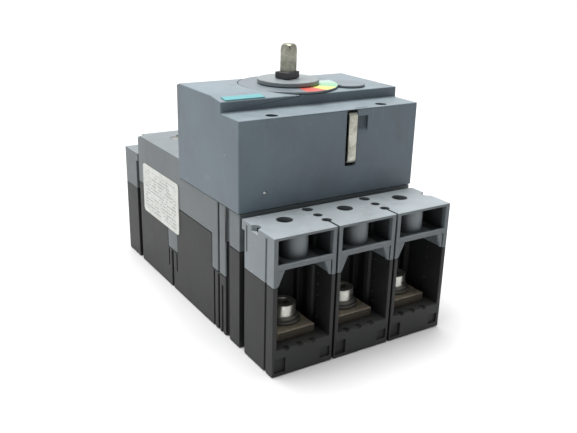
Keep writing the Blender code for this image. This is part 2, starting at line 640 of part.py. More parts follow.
LINE_BAR_INSET = 6.5 * MM
LOAD_BAR_INSET = 3.0 * MM
arms = []
for number, pole in enumerate(POLES, 1):
    conductor("line_conductor_%d" % number, pole, (LINE_BAR_INSET, PEDESTAL_END - 1 * MM), LINE_BOLT, True)
    conductor("load_conductor_%d" % number, pole, (104 * MM, CASE_LENGTH - LOAD_BAR_INSET),
              LOAD.y(LOAD_BOLT), False)
    terminal_screw("line_terminal_screw_%d" % number, pole, LINE_BOLT)
    terminal_screw("load_terminal_screw_%d" % number, pole, LOAD.y(LOAD_BOLT))
    arc_chute("arc_chute_%d" % number, pole)
    flexible_lead("flexible_lead_%d" % number, pole)
    transformer("current_transformer_%d" % number, pole)
    arms.append(contact_arm("contact_arm_%d" % number, pole))

# Contact crossbar: an insulating shaft with a pair of collars around each contact arm.
crossbar = rod("contact_crossbar", "X", (0, ROTOR_Y, ROTOR_Z), ROTOR_RADIUS, 2 * (INNER_HALF - 1 * MM), BLACK)
COLLARS = [((pole + side * 7.3 * MM, ROTOR_Y, ROTOR_Z), HUB, 5.4 * MM) for pole in POLES for side in (-1, 1)]
join(crossbar, rods("crossbar_collars", "X", COLLARS))
for item, pole in zip(arms, POLES):
    hang_on(item, (0, ROTOR_Y, ROTOR_Z), (-CONTACT_SWING, 0, 0))
hang_on(crossbar, (0, ROTOR_Y, ROTOR_Z))
smooth(crossbar)

# Mechanism frame in the middle pole: two side plates on a foot, drilled for the pins.
PLATE_IN = 11.2 * MM
PLATE_OUT = 13.2 * MM
FRAME_Y = (64 * MM, 109 * MM)
FRAME_TOP = 64 * MM
FOOT = (FLOOR + GAP, FLOOR + GAP + 2 * MM)
mechanism = block("mechanism_frame", ((-PLATE_OUT, PLATE_OUT), FRAME_Y, (FOOT[0], FRAME_TOP)), DARK_STEEL)
cut(mechanism, blocks("mechanism_inside", [
    ((-PLATE_IN, PLATE_IN), (FRAME_Y[0] - OUT, FRAME_Y[1] + OUT), (FOOT[1], FRAME_TOP + OUT))]))
cut(mechanism, blocks("mechanism_rear_step", [
    ((-PLATE_OUT - OUT, PLATE_OUT + OUT), (100 * MM, FRAME_Y[1] + OUT), (FOOT[0] - OUT, 30 * MM))]))
LATCH_Y = 92.0 * MM
LATCH_Z = 50.0 * MM
PIVOT_PIN = 2.0 * MM
LATCH_PIN = 1.6 * MM
TRIP_BAR = 3.0 * MM
for name, y, z, radius in (
        ("pivot_holes", DRIVE_Y, LEVER_PIVOT, PIVOT_PIN + GAP),
        ("rotor_holes", ROTOR_Y, ROTOR_Z, ROTOR_RADIUS + GAP),
        ("latch_holes", LATCH_Y, LATCH_Z, LATCH_PIN + GAP),
        ("trip_holes", TRIP_BAR_Y, TRIP_BAR_Z, TRIP_BAR + GAP)):
    cut(mechanism, rods(name, "X", [((0, y, z), radius, 40 * MM)]))
rod("lever_pivot_pin", "X", (0, DRIVE_Y, LEVER_PIVOT), PIVOT_PIN, 2 * PLATE_OUT + 1 * MM, STEEL, 16)
rod("latch_pin", "X", (0, LATCH_Y, LATCH_Z), LATCH_PIN, 2 * PLATE_OUT + 1 * MM, STEEL, 16)

# Toggle lever: a fork on the pivot pin with the handle post above it.
FORK_IN = 7.4 * MM
FORK_OUT = 9.6 * MM
FORK_DEPTH = 5.0 * MM
FORK_TOP = 66.0 * MM
lever = block("toggle_lever", (
    (-FORK_OUT, FORK_OUT), (DRIVE_Y - FORK_DEPTH, DRIVE_Y + FORK_DEPTH),
    (LEVER_PIVOT - 5 * MM, FORK_TOP)), BLACK)
cut(lever, blocks("fork_inside", [
    ((-FORK_IN, FORK_IN), (DRIVE_Y - 2 * FORK_DEPTH, DRIVE_Y + 2 * FORK_DEPTH), (0, FORK_TOP - 4 * MM))]))
join(lever, blocks("lever_post", [
    ((-LEVER_HALF, LEVER_HALF), (DRIVE_Y - LEVER_DEPTH, DRIVE_Y + LEVER_DEPTH),
     (FORK_TOP - 1 * MM, LEVER_TOP))]))
cut(lever, rods("lever_bore", "X", [((0, DRIVE_Y, LEVER_PIVOT), PIVOT_PIN + GAP, 40 * MM)]))
hang_on(lever, (0, DRIVE_Y, LEVER_PIVOT))


def coil(name, x, y, low, high, radius, wire, turns, material):
    """A compression spring along Z."""
    per_turn = 8
    count = round(turns * per_turn)
    curve = bpy.data.curves.new(name, "CURVE")
    curve.dimensions = "3D"
    curve.bevel_depth = wire
    curve.bevel_resolution = 1
    curve.use_fill_caps = True
    spline = curve.splines.new("POLY")
    spline.points.add(count)
    for step, point in enumerate(spline.points):
        angle = 2 * math.pi * step / per_turn
        rise = low + wire + (high - low - 2 * wire) * step / count
        point.co = (x + radius * math.cos(angle), y + radius * math.sin(angle), rise, 1.0)
    item = bpy.data.objects.new(name, curve)
    parts.objects.link(item)
    item.parent = frame
    item.data.materials.append(material)
    return item


for side, x in (("left", -4.2 * MM), ("right", 4.2 * MM)):
    coil("main_spring_" + side, x, DRIVE_Y, LEVER_PIVOT + PIVOT_PIN + GAP, FORK_TOP - 4 * MM - GAP,
         2.3 * MM, 0.55 * MM, 4.5, STEEL)

# Latch and trip bar.
latch = rod("latch", "X", (0, LATCH_Y, LATCH_Z), 4 * MM, 6 * MM, STEEL, 16)
join(latch, blocks("latch_blade", [
    ((-3 * MM, 3 * MM), (LATCH_Y, LATCH_Y + 7 * MM), (LATCH_Z, LATCH_Z + 3.5 * MM))]))
join(latch, blocks("latch_tail", [
    ((-3 * MM, 3 * MM), (LATCH_Y - 6 * MM, LATCH_Y), (LATCH_Z - 1 * MM, LATCH_Z + 3 * MM))]))
cut(latch, rods("latch_bore", "X", [((0, LATCH_Y, LATCH_Z), LATCH_PIN + GAP, 20 * MM)]))
hang_on(latch, (0, LATCH_Y, LATCH_Z))

FLAG_TOP = TRIP_BAR_Z + 4.0 * MM
trip_bar = rod("trip_bar", "X", (0, TRIP_BAR_Y, TRIP_BAR_Z), TRIP_BAR, 2 * (INNER_HALF - 2 * MM), CREAM, 16)
join(trip_bar, blocks("trip_flag", [
    ((BUTTON_X - 3 * MM, BUTTON_X + 3 * MM), (TRIP_BAR_Y - 1 * MM, TRIP_BAR_Y + 7.5 * MM),
     (TRIP_BAR_Z + 1 * MM, FLAG_TOP))]))
hang_on(trip_bar, (0, TRIP_BAR_Y, TRIP_BAR_Z))

# Trip unit: a closed box on the transformers, with its setting front in the cover's window.
trip_unit = block("trip_unit", (
    (-INNER_HALF + 1 * MM, INNER_HALF - 1 * MM), (TRIP_START, TRIP_END), (TRIP_BOTTOM, TRIP_TOP)), BLACK)
join(trip_unit, blocks("trip_front", [
    ((-FRONT_HALF, FRONT_HALF), (FRONT_START, FRONT_END), (TRIP_TOP - 1 * MM, FRONT_TOP))]))
DIAL_RADIUS = 4.5 * MM
DIAL_Y = FRONT_START + 12.0 * MM
DIALS = (("overload_dial", -14.0 * MM), ("short_circuit_dial", 6.0 * MM))
cut(trip_unit, upright("dial_wells", [
    (x, DIAL_Y, FRONT_TOP - 2.5 * MM, FRONT_TOP + OUT, DIAL_RADIUS + GAP) for _, x in DIALS]))
cut(trip_unit, upright("rear_screw_threads", [
    (x, y, TRIP_TOP - 8 * MM, TRIP_TOP + OUT, 1.6 * MM) for x, y in COVER_SCREW_REAR], segments=10))
SEAT = (TRIP_TOP - 1.5 * MM, TRIP_TOP)
join(trip_unit, blocks("spring_seat", [
    ((BUTTON_X - 5 * MM, BUTTON_X + 5 * MM), (BUTTON_Y - 4 * MM, TRIP_START + 1 * MM), SEAT)]))
STEM = 1.5 * MM
cut(trip_unit, upright("stem_hole", [
    (BUTTON_X, BUTTON_Y, SEAT[0] - OUT, SEAT[1] + OUT, STEM + GAP)], segments=16))
cut(trip_unit, blocks("flag_room", [
    ((BUTTON_X - 6 * MM, BUTTON_X + 6 * MM), (TRIP_START - OUT, TRIP_START + 2 * MM), (50 * MM, SEAT[0])),
]))
for name, x in DIALS:
    dial = upright(name, [(x, DIAL_Y, FRONT_TOP - 2.5 * MM + GAP, FRONT_TOP, DIAL_RADIUS)], CREAM, parts, 16)
    cut(dial, blocks(name + "_slot", [
        ((x - 3.5 * MM, x + 3.5 * MM), (DIAL_Y - 0.6 * MM, DIAL_Y + 0.6 * MM),
         (FRONT_TOP - 1 * MM, FRONT_TOP + OUT))]))
    hang_on(dial, (x, DIAL_Y, FRONT_TOP))

# Trip button: a headed plunger over the trip bar's flag, lifted by its spring.
HEAD_BOTTOM = TRIP_TOP + 7.5 * MM
button = upright("trip_button", [
    (BUTTON_X, BUTTON_Y, HEAD_BOTTOM, COVER_TOP + 1.2 * MM, BUTTON_RADIUS)], RED, parts)
join(button, upright("button_stem", [
    (BUTTON_X, BUTTON_Y, FLAG_TOP + GAP, HEAD_BOTTOM + 1 * MM, STEM)], segments=16))
coil("trip_button_spring", BUTTON_X, BUTTON_Y, SEAT[1] + GAP, HEAD_BOTTOM - GAP,
     2.3 * MM, 0.35 * MM, 4.0, STEEL)

# Operator housing: a lidded shell with a ledge in front and round the screws.
HOUSING_OUTLINE = [
    (OPERATOR_START, OPERATOR_BOTTOM),
    (OPERATOR_START, LEDGE_TOP),
    (OPERATOR_START + LEDGE_LENGTH, LEDGE_TOP),
    (OPERATOR_START + LEDGE_LENGTH, OPERATOR_TOP),
    (OPERATOR_END, OPERATOR_TOP),
    (OPERATOR_END, OPERATOR_BOTTOM)]
HOUSING_INSIDE = [
    (OPERATOR_START + SHELL, OPERATOR_BOTTOM - OUT), (OPERATOR_START + SHELL, LEDGE_TOP - SHELL),
    (OPERATOR_START + LEDGE_LENGTH + SHELL, LEDGE_TOP - SHELL),
    (OPERATOR_START + LEDGE_LENGTH + SHELL, OPERATOR_TOP - SHELL),
    (OPERATOR_END - SHELL, OPERATOR_TOP - SHELL), (OPERATOR_END - SHELL, OPERATOR_BOTTOM - OUT)]
housing = plate("operator_housing", HOUSING_OUTLINE, (-OPERATOR_HALF, OPERATOR_HALF), GREY, parts)
cut(housing, plate("housing_inside", HOUSING_INSIDE, (-OPERATOR_HALF + SHELL, OPERATOR_HALF - SHELL)))
PLATE_TOP = OPERATOR_BOTTOM + 2.0 * MM
join(housing, upright("screw_tubes", [
    (x, y, PLATE_TOP + GAP, LEDGE_TOP - 1 * MM, 4.8 * MM) for x, y in OPERATOR_SCREWS]))
SCREW_SEAT = LEDGE_TOP - 8.0 * MM
tube_bores = [(x, y, 0.0, LEDGE_TOP, 1.8 * MM) for x, y in OPERATOR_SCREWS]
cut(housing, upright("screw_tube_bores", tube_bores, segments=10))
cut(housing, upright("screw_tube_sinks", [
    (x, y, SCREW_SEAT, LEDGE_TOP + OUT, 3.0 * MM) for x, y in OPERATOR_SCREWS]))
HUB_RADIUS = 6.2 * MM
cut(housing, upright("shaft_hole", [
    (0, DRIVE_Y, OPERATOR_TOP - OUT, OPERATOR_TOP + OUT, HUB_RADIUS + GAP)], segments=20))
SLOT_X = (STRAP_LEFT - 1 * MM, STRAP_LEFT + STRAP_WIDTH + 0.4 * MM)
cut(housing, blocks("strap_slot", [
    (SLOT_X, (OPERATOR_START - OUT, OPERATOR_START + SHELL + 24 * MM),
     (STRAP_BOTTOM - 1 * MM, STRAP_TOP + 0.5 * MM))]))
RECESS_OUTLINE = [
    (OPERATOR_START - 1 * MM, 103.5 * MM),
    (OPERATOR_START, 103.5 * MM),
    (OPERATOR_START + 1.6 * MM, 106 * MM),
    (OPERATOR_START + 1.6 * MM, 112 * MM), (OPERATOR_START - 1 * MM, 112 * MM)]
cut(housing, plate("finger_recess", RECESS_OUTLINE, (SLOT_X[1] - 0.4 * MM, SLOT_X[1] + 6.4 * MM)))
cut(housing, rods("pin_hole", "Y", [
    ((-38.8 * MM, OPERATOR_START, 79.9 * MM), 1.1 * MM, 5 * MM)], segments=10))
INDICATOR = (OPERATOR_TOP + GAP, OPERATOR_TOP + 1.4 * MM)
INDICATOR_RADIUS = 26.5 * MM
RAMP = (OPERATOR_START + LEDGE_LENGTH, 60.0 * MM)


def ramp_height(y):
    """Height of the ramp up to the raised left part of the operator's top."""
    return OPERATOR_TOP + (INDICATOR[1] - OPERATOR_TOP) * (y - RAMP[0]) / (RAMP[1] - RAMP[0])


raised = plate("raised_left", [
    (RAMP[0], OPERATOR_TOP - 1 * MM), (RAMP[0], OPERATOR_TOP + 0.02 * MM), (RAMP[1], INDICATOR[1]),
    (OPERATOR_END - 3 * MM, INDICATOR[1]), (OPERATOR_END, OPERATOR_TOP + 0.5 * MM),
    (OPERATOR_END, OPERATOR_TOP - 1 * MM)], (-OPERATOR_HALF, -HUB_RADIUS - 1 * MM))
cut(raised, upright("disc_room", [
    (0, DRIVE_Y, OPERATOR_TOP, OPERATOR_TOP + OUT, INDICATOR_RADIUS + GAP)], segments=40))
join(housing, raised)
rod("locating_pin", "Y", (-38.8 * MM, OPERATOR_START + 1.3 * MM, 79.9 * MM), 0.8 * MM, 2.2 * MM, STEEL, 12)

# Plain strip on the ramp, indicator plate round the shaft.
STRIP_Y = (50.0 * MM, 55.2 * MM)
plate("nameplate_strip", [
    (STRIP_Y[0], ramp_height(STRIP_Y[0]) + 0.1 * MM), (STRIP_Y[1], ramp_height(STRIP_Y[1]) + 0.1 * MM),
    (STRIP_Y[1], ramp_height(STRIP_Y[1]) + 0.6 * MM), (STRIP_Y[0], ramp_height(STRIP_Y[0]) + 0.6 * MM)],
    (-50 * MM, -28.5 * MM), TEAL, parts)
indicator = upright("indicator_plate", [(0, DRIVE_Y, *INDICATOR, INDICATOR_RADIUS)], PALE_GREY, parts, 40)
join(indicator, upright("indicator_lobe", [(30 * MM, DRIVE_Y - 13 * MM, *INDICATOR, 9 * MM)], segments=20))
cut(indicator, upright("indicator_hole", [
    (0, DRIVE_Y, INDICATOR[0] - OUT, INDICATOR[1] + OUT, HUB_RADIUS + GAP)], segments=20))

# Rotor disc, collar and shaft turn together on the drive axis.
DISC = (INDICATOR[1] + GAP, INDICATOR[1] + 2.6 * MM)
CAM_HUB_TOP = 111.5 * MM
COLLAR = (DISC[1] + GAP, 129.2 * MM)
COLLAR_X = (-6.4 * MM, 4.0 * MM)
COLLAR_Y = (-4.5 * MM, 4.0 * MM)


def turned_bar(name, x, y, z, material=None, collection=cutters):
    """Rectangular bar along the drive axis, turned to the shaft's rest angle."""
    bar = (x, (DRIVE_Y + y[0], DRIVE_Y + y[1]), z)
    item = blocks(name, [bar], material, collection)
    hang_on(item, (0, DRIVE_Y, 0), (0, 0, SHAFT_TURN))
    return item


def square_bar(name, side, low, high, material=None, collection=cutters):
    half = side / 2
    return turned_bar(name, (-half, half), (-half, half), (low, high), material, collection)


def square_bore(name):
    return square_bar(name, SHAFT_SIDE + 2 * GAP, 60 * MM, 160 * MM)


disc = upright("rotor_disc", [(0, DRIVE_Y, *DISC, 16.5 * MM)], PALE_GREY, parts, 32)
join(disc, upright("rotor_hub", [
    (0, DRIVE_Y, CAM_HUB_TOP + GAP, DISC[1] - 0.5 * MM, HUB_RADIUS)], segments=20))
cut(disc, square_bore("disc_bore"))
collar = turned_bar("shaft_collar", COLLAR_X, COLLAR_Y, COLLAR, BLACK, parts)
cut(collar, square_bore("collar_bore"))
shaft = square_bar("drive_shaft", SHAFT_SIDE, CAM_Z + 1 * MM, SHAFT_TIP, STEEL, parts)
CORNER = SHAFT_SIDE / math.sqrt(2) + 0.1 * MM
boolean(shaft, turned("shaft_tip", [
    (0.0, SHAFT_TIP), (CORNER - 1.7 * MM, SHAFT_TIP), (CORNER - 0.8 * MM, SHAFT_TIP - 0.8 * MM),
    (CORNER, SHAFT_TIP - 3.6 * MM), (CORNER, CAM_Z), (0.0, CAM_Z)],
    (0, DRIVE_Y, 0)), "INTERSECT")
cam = upright("drive_cam", [(0, DRIVE_Y, CAM_Z, CAM_Z + CAM_THICK, CAM_RADIUS)], DARK_STEEL, parts, 24)
join(cam, upright("cam_hub", [(0, DRIVE_Y, CAM_Z + CAM_THICK - 1 * MM, CAM_HUB_TOP, 7.5 * MM)], segments=20))
join(cam, upright("crank_pin", [
    (CRANK, DRIVE_Y, CARRIAGE_Z - 1 * MM, CAM_Z + 1 * MM, CRANK_PIN)], segments=16))
cut(cam, square_bore("cam_bore"))
for item in (disc, cam):
    hang_on(item, (0, DRIVE_Y, 0))

# Drive carriage: a plate with the crank's cross slot and a window for the toggle lever.
CARRIAGE_HALF = 24.0 * MM
CARRIAGE_DEPTH = 9.0 * MM
carriage = block("drive_carriage", (
    (-CARRIAGE_HALF, CARRIAGE_HALF), (DRIVE_Y - CARRIAGE_DEPTH, DRIVE_Y + CARRIAGE_DEPTH),
    (CARRIAGE_Z, CARRIAGE_Z + CARRIAGE_THICK)), STEEL)
SLOT_HALF = CRANK_PIN + YOKE_PLAY
CRANK_IN = CRANK * math.cos(math.pi / 4)
cut(carriage, blocks("yoke_slot", [
    ((CRANK_IN - SLOT_HALF, CRANK + SLOT_HALF), (DRIVE_Y - SLOT_HALF, DRIVE_Y + SLOT_HALF),
     (CARRIAGE_Z - OUT, CARRIAGE_Z + OUT))]))
LEVER_PLAY = 1.0 * MM
cut(carriage, blocks("lever_window", [
    ((-LEVER_HALF - 0.5 * MM, LEVER_HALF + 0.5 * MM),
     (DRIVE_Y - LEVER_DEPTH - LEVER_PLAY, DRIVE_Y + LEVER_DEPTH + LEVER_PLAY),
     (CARRIAGE_Z - OUT, CARRIAGE_Z + OUT))]))

# Operator base plate with two upright rails that guide the carriage.
RAIL = (22.0 * MM, 24.0 * MM)
RAIL_Y = (OPERATOR_START + SHELL + 18 * MM, OPERATOR_END - SHELL - 1 * MM)
RAIL_TOP = CARRIAGE_Z + CARRIAGE_THICK + 2.5 * MM
base_plate = block("operator_base_plate", (
    (-OPERATOR_HALF + SHELL + 0.5 * MM, OPERATOR_HALF - SHELL - 0.5 * MM),
    (OPERATOR_START + SHELL + 0.5 * MM, OPERATOR_END - SHELL - 0.5 * MM),
    (OPERATOR_BOTTOM, PLATE_TOP)), DARK_STEEL)
for side, (low, high) in (("left", (-RAIL[1] - 1 * MM, -RAIL[0])), ("right", (RAIL[0], RAIL[1] + 1 * MM))):
    join(base_plate, blocks("rail_" + side, [((low, high), RAIL_Y, (PLATE_TOP - 1 * MM, RAIL_TOP))]))
cut(base_plate, blocks("rail_slots", mirrored(
    ((RAIL[0] - OUT, RAIL[1] + 0.4 * MM), (RAIL_Y[0] + 2 * MM, RAIL_Y[1] + OUT),
     (CARRIAGE_Z - GAP, CARRIAGE_Z + CARRIAGE_THICK + GAP)))))
cut(base_plate, blocks("plate_toggle_slot", [(*LEVER_SLOT, (OPERATOR_BOTTOM - OUT, PLATE_TOP + OUT))]))
cut(base_plate, upright("plate_screw_holes", [
    (x, y, DECK_TOP - OUT, PLATE_TOP + OUT, 1.8 * MM) for x, y in OPERATOR_SCREWS], segments=10))


def screw(name, x, y, low, seat, head_radius, head_height, shank):
    item = upright(name, [(x, y, seat + GAP, seat + GAP + head_height, head_radius)], STEEL, parts, 16)
    join(item, upright(name + "_shank", [(x, y, low, seat + GAP + head_height / 2, shank)], segments=10))
    top = seat + GAP + head_height
    cut(item, blocks(name + "_drive", [
        ((x - head_radius * 0.7, x + head_radius * 0.7), (y - 0.4 * MM, y + 0.4 * MM),
         (top - 0.9 * MM, top + OUT))]))
    smooth(item)


for side, (x, y) in zip(("left", "right"), OPERATOR_SCREWS):
    screw("operator_screw_" + side, x, y, DECK_TOP - 9 * MM, SCREW_SEAT, 2.7 * MM, 2.4 * MM, 1.4 * MM)
for number, (x, y) in enumerate(COVER_SCREW_FRONT, 1):
    screw("cover_screw_%d" % number, x, y, 36 * MM, DECK_TOP - 3.5 * MM, 2.7 * MM, 2.2 * MM, 1.3 * MM)
for number, (x, y) in enumerate(COVER_SCREW_REAR, 3):
    screw("cover_screw_%d" % number, x, y, TRIP_TOP - 6 * MM, COVER_TOP - 1.6 * MM,
          2.5 * MM, 1.2 * MM, 1.3 * MM)

# Padlock bracket: a bent strap whose two legs slide in the operator's front slot.
strap_y = OPERATOR_START - 0.6 * MM
BEND = 2.2 * MM
outer = [(strap_y + STRAP_LEG, STRAP_BOTTOM), (strap_y + BEND, STRAP_BOTTOM),
         (strap_y + BEND * 0.3, STRAP_BOTTOM + BEND * 0.3), (strap_y, STRAP_BOTTOM + BEND),
         (strap_y, STRAP_TOP - BEND), (strap_y + BEND * 0.3, STRAP_TOP - BEND * 0.3),
         (strap_y + BEND, STRAP_TOP), (strap_y + STRAP_LEG, STRAP_TOP)]
inner = [(strap_y + STRAP_LEG, STRAP_TOP - STRAP_THICK), (strap_y + STRAP_THICK, STRAP_TOP - STRAP_THICK),
         (strap_y + STRAP_THICK, STRAP_BOTTOM + STRAP_THICK),
         (strap_y + STRAP_LEG, STRAP_BOTTOM + STRAP_THICK)]
bracket = plate("padlock_bracket", outer + inner, (STRAP_LEFT, STRAP_LEFT + STRAP_WIDTH), STEEL, parts)

# Side label on the left of the cover and base.
block("side_label", ((-CASE_HALF - 0.45 * MM, -CASE_HALF - 0.05 * MM), (102.5 * MM, 154.5 * MM),
                     (36 * MM, 66 * MM)), LABEL)
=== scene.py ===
import math
import bmesh
import bpy
from mathutils import Matrix, Vector


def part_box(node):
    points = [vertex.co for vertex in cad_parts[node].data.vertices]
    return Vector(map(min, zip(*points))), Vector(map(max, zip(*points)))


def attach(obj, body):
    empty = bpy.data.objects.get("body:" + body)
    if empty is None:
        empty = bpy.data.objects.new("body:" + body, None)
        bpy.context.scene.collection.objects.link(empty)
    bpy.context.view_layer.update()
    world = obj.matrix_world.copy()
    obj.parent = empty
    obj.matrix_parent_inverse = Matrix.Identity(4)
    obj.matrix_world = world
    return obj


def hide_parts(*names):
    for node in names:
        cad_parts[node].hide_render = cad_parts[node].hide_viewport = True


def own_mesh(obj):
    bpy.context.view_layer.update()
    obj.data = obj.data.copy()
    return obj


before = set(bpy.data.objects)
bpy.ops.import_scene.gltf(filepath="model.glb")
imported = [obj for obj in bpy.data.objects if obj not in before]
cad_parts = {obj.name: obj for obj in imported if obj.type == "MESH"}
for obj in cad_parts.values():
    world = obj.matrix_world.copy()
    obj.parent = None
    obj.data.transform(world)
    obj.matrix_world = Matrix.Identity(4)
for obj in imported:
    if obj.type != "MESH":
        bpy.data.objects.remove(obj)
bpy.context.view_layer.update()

# ---------------------------------------------------------------- base
# The base is one black moulding of glass-filled polyamide that carries every live part. It comes from a
# spark-eroded mould, so its faces are finely pitted, its edges are softened, and handling has left dust
# on it. All the other mouldings share its finish in their own colours.


class Grain:
    """One value in a material's nodes: arithmetic on it adds Math nodes, and add() makes any other node."""

    def __init__(self, tree, socket=None):
        self.tree = tree
        self.socket = socket

    def add(self, kind, settings=None, inputs=None, output=0):
        node = self.tree.nodes.new("ShaderNode" + kind)
        for name, value in (settings or {}).items():
            setattr(node, name, value)
        for name, value in (inputs or {}).items():
            if isinstance(value, Grain):
                self.tree.links.new(value.socket, node.inputs[name])
            else:
                node.inputs[name].default_value = value
        return Grain(self.tree, node.outputs[output])

    def maths(self, operation, first, second=0.0):
        return self.add("Math", {"operation": operation}, {0: first, 1: second})

    def __add__(self, other):
        return self.maths("ADD", self, other)

    def __radd__(self, other):
        return self.maths("ADD", other, self)

    def __sub__(self, other):
        return self.maths("SUBTRACT", self, other)

    def __rsub__(self, other):
        return self.maths("SUBTRACT", other, self)

    def __mul__(self, other):
        return self.maths("MULTIPLY", self, other)

    def __rmul__(self, other):
        return self.maths("MULTIPLY", other, self)

    def __truediv__(self, other):
        return self.maths("DIVIDE", self, other)

    def between(self, low, high):
        """0 below low, 1 above high, and a straight slope from one to the other."""
        return self.add("MapRange", {"clamp": True}, {"Value": self, "From Min": low, "From Max": high})

    def tint(self, first, second):
        """The colour first where this value is 0 and second where it is 1."""
        inputs = {"Factor": self, 6: first, 7: second}
        return self.add("Mix", {"data_type": "RGBA"}, inputs, output=2)

    def noise(self, place, size, detail=3.0, rough=0.55, warp=0.0):
        """A cloud whose lumps are about size metres across."""
        inputs = {"Vector": place, "Scale": 1.0 / size, "Detail": detail, "Roughness": rough, "Distortion": warp}
        return self.add("TexNoise", inputs=inputs)

    def stretched(self, place, scale):
        """Object coordinates scaled along each axis, for streaks and scratches."""
        return self.add("VectorMath", {"operation": "MULTIPLY"}, {0: place, 1: scale})

    def rubbed(self, radius):
        """1 on outer edges, 0 on flat faces: where the rounded normal turns away from the face's own."""
        soft = self.add("Bevel", {"samples": 6}, {"Radius": radius})
        own = self.add("NewGeometry", output="Normal")
        return 1.0 - self.add("VectorMath", {"operation": "DOT_PRODUCT"}, {0: soft, 1: own}, output="Value")

    def sheltered(self, reach):
        """1 deep in slots, bores and inner corners, 0 in the open: the mask for painted shade."""
        open_sky = self.add("AmbientOcclusion", {"samples": 8, "only_local": True}, {"Distance": reach}, output="AO")
        return 1.0 - open_sky


def shade(tree, colour, rough, height, strength, metal=0.0, depth=0.00005, **fixed):
    """The Principled shader of one finish. Varying values go in as links, fixed ones on the socket itself."""
    start = Grain(tree)
    inputs = {"Base Color": colour, "Roughness": rough, "Metallic": metal}
    if height is not None:
        inputs["Normal"] = start.add("Bump", inputs={"Height": height, "Strength": strength, "Distance": depth})
    inputs.update({name.replace("_", " "): value for name, value in fixed.items()})
    surface = start.add("BsdfPrincipled", inputs=inputs, output="BSDF")
    out = tree.nodes.new("ShaderNodeOutputMaterial")
    tree.links.new(surface.socket, out.inputs["Surface"])


def blank(name):
    material = bpy.data.materials.new(name)
    material.use_nodes = True
    material.node_tree.nodes.clear()
    return material


def moulded(name, colour, dust, rough=0.46, dust_and_top_light=0.3, worn=0.35, pit=0.00034, shade_depth=0.8,
            inner_shade=None, shine=0.5):
    """Plastic from a spark-eroded mould: fine pits, faint flow clouds, dust, scratches, edges lighter from wear and
    painted highlight, tops painted lighter and painted shade in recesses.
    """
    material = blank(name)
    tree = material.node_tree
    start = Grain(tree)
    place = start.add("TexCoord", output="Object")
    pits = start.noise(place, pit, 2.0, 0.6)
    flow = start.noise(place, 0.035, 4.0, 0.6, 0.4)
    film = start.noise(place, 0.009, 6.0, 0.7, 0.3)
    fluff = start.noise(place, 0.0011, 3.0, 0.6)
    along = start.stretched(place, (900.0, 26.0, 60.0))
    across = start.stretched(place, (40.0, 820.0, 34.0))
    scratch = start.maths("MAXIMUM", start.noise(along, 1.0, 2.0).between(0.70, 0.76),
                          start.noise(across, 1.0, 2.0).between(0.71, 0.77))
    up = start.add("SeparateXYZ", inputs={0: start.add("NewGeometry", output="Normal")}, output="Z")
    # Dust lies on every face and thickest on up-facing ones; the extra on the tops is also painted light from above.
    facing_up_weight = up.between(0.3, 1.0) * 0.85 + 0.15
    cover = (film.between(0.30, 0.80) * 0.35 + 0.48) * facing_up_weight * dust_and_top_light + fluff.between(0.64, 0.76) * 0.3 * dust_and_top_light
    # Outer edges go lighter: partly rubbed wear, partly a painted highlight.
    edge = start.rubbed(0.0007).between(0.02, 0.25)
    chafe_and_highlight = edge * start.noise(place, 0.004, 4.0).between(0.35, 0.7) * worn
    dark = tuple(c * 0.82 for c in colour[:3]) + (1.0,)
    light = tuple(min(1.0, c * 1.16) for c in colour[:3]) + (1.0,)
    body = flow.between(0.25, 0.75).tint(dark, light)
    body = (scratch * 0.22 * worn + chafe_and_highlight).tint(body, tuple(min(1.0, c * 1.9 + 0.03) for c in colour[:3]) + (1.0,))
    body = cover.tint(body, dust)
    nicks = start.noise(place, 0.0021, 2.0, 0.5).between(0.745, 0.765) * worn
    stain = start.noise(start.stretched(place, (70.0, 70.0, 24.0)), 1.0, 5.0, 0.65).between(0.56, 0.74) * 0.45 * worn
    body = stain.tint(body, tuple(c * k for c, k in zip(colour[:3], (1.0, 0.72, 0.55))) + (1.0,))
    body = (nicks * 0.8).tint(body, tuple(min(1.0, c * 3.0 + 0.06) for c in colour[:3]) + (1.0,))
    # Painted shade: deep recesses, narrow seams and any extra mask passed in are tinted towards near black.
    deep = start.sheltered(0.014).between(0.30, 0.75) * shade_depth
    lines = start.sheltered(0.0016).between(0.35, 0.75) * shade_depth * 0.8
    crevice_shade = start.maths("MAXIMUM", deep, lines)
    if inner_shade is not None:
        crevice_shade = start.maths("MAXIMUM", crevice_shade, inner_shade(start, place))
    body = crevice_shade.tint(body, tuple(c * 0.12 for c in colour[:3]) + (1.0,))
    matt = rough + (film - 0.5) * 0.12 + cover * 0.28 - scratch * 0.06 - edge * 0.05 + crevice_shade * 0.3
    shade(tree, body, matt.maths("MINIMUM", matt, 0.9), pits * 0.8 + fluff * 0.2 - scratch * 0.5, 0.5,
          depth=0.00004, Specular_IOR_Level=shine)
    return material


SAME_POINT = 0.000002
FLAT_ANGLE = math.radians(0.8)
SHARP_ANGLE = math.radians(28.0)


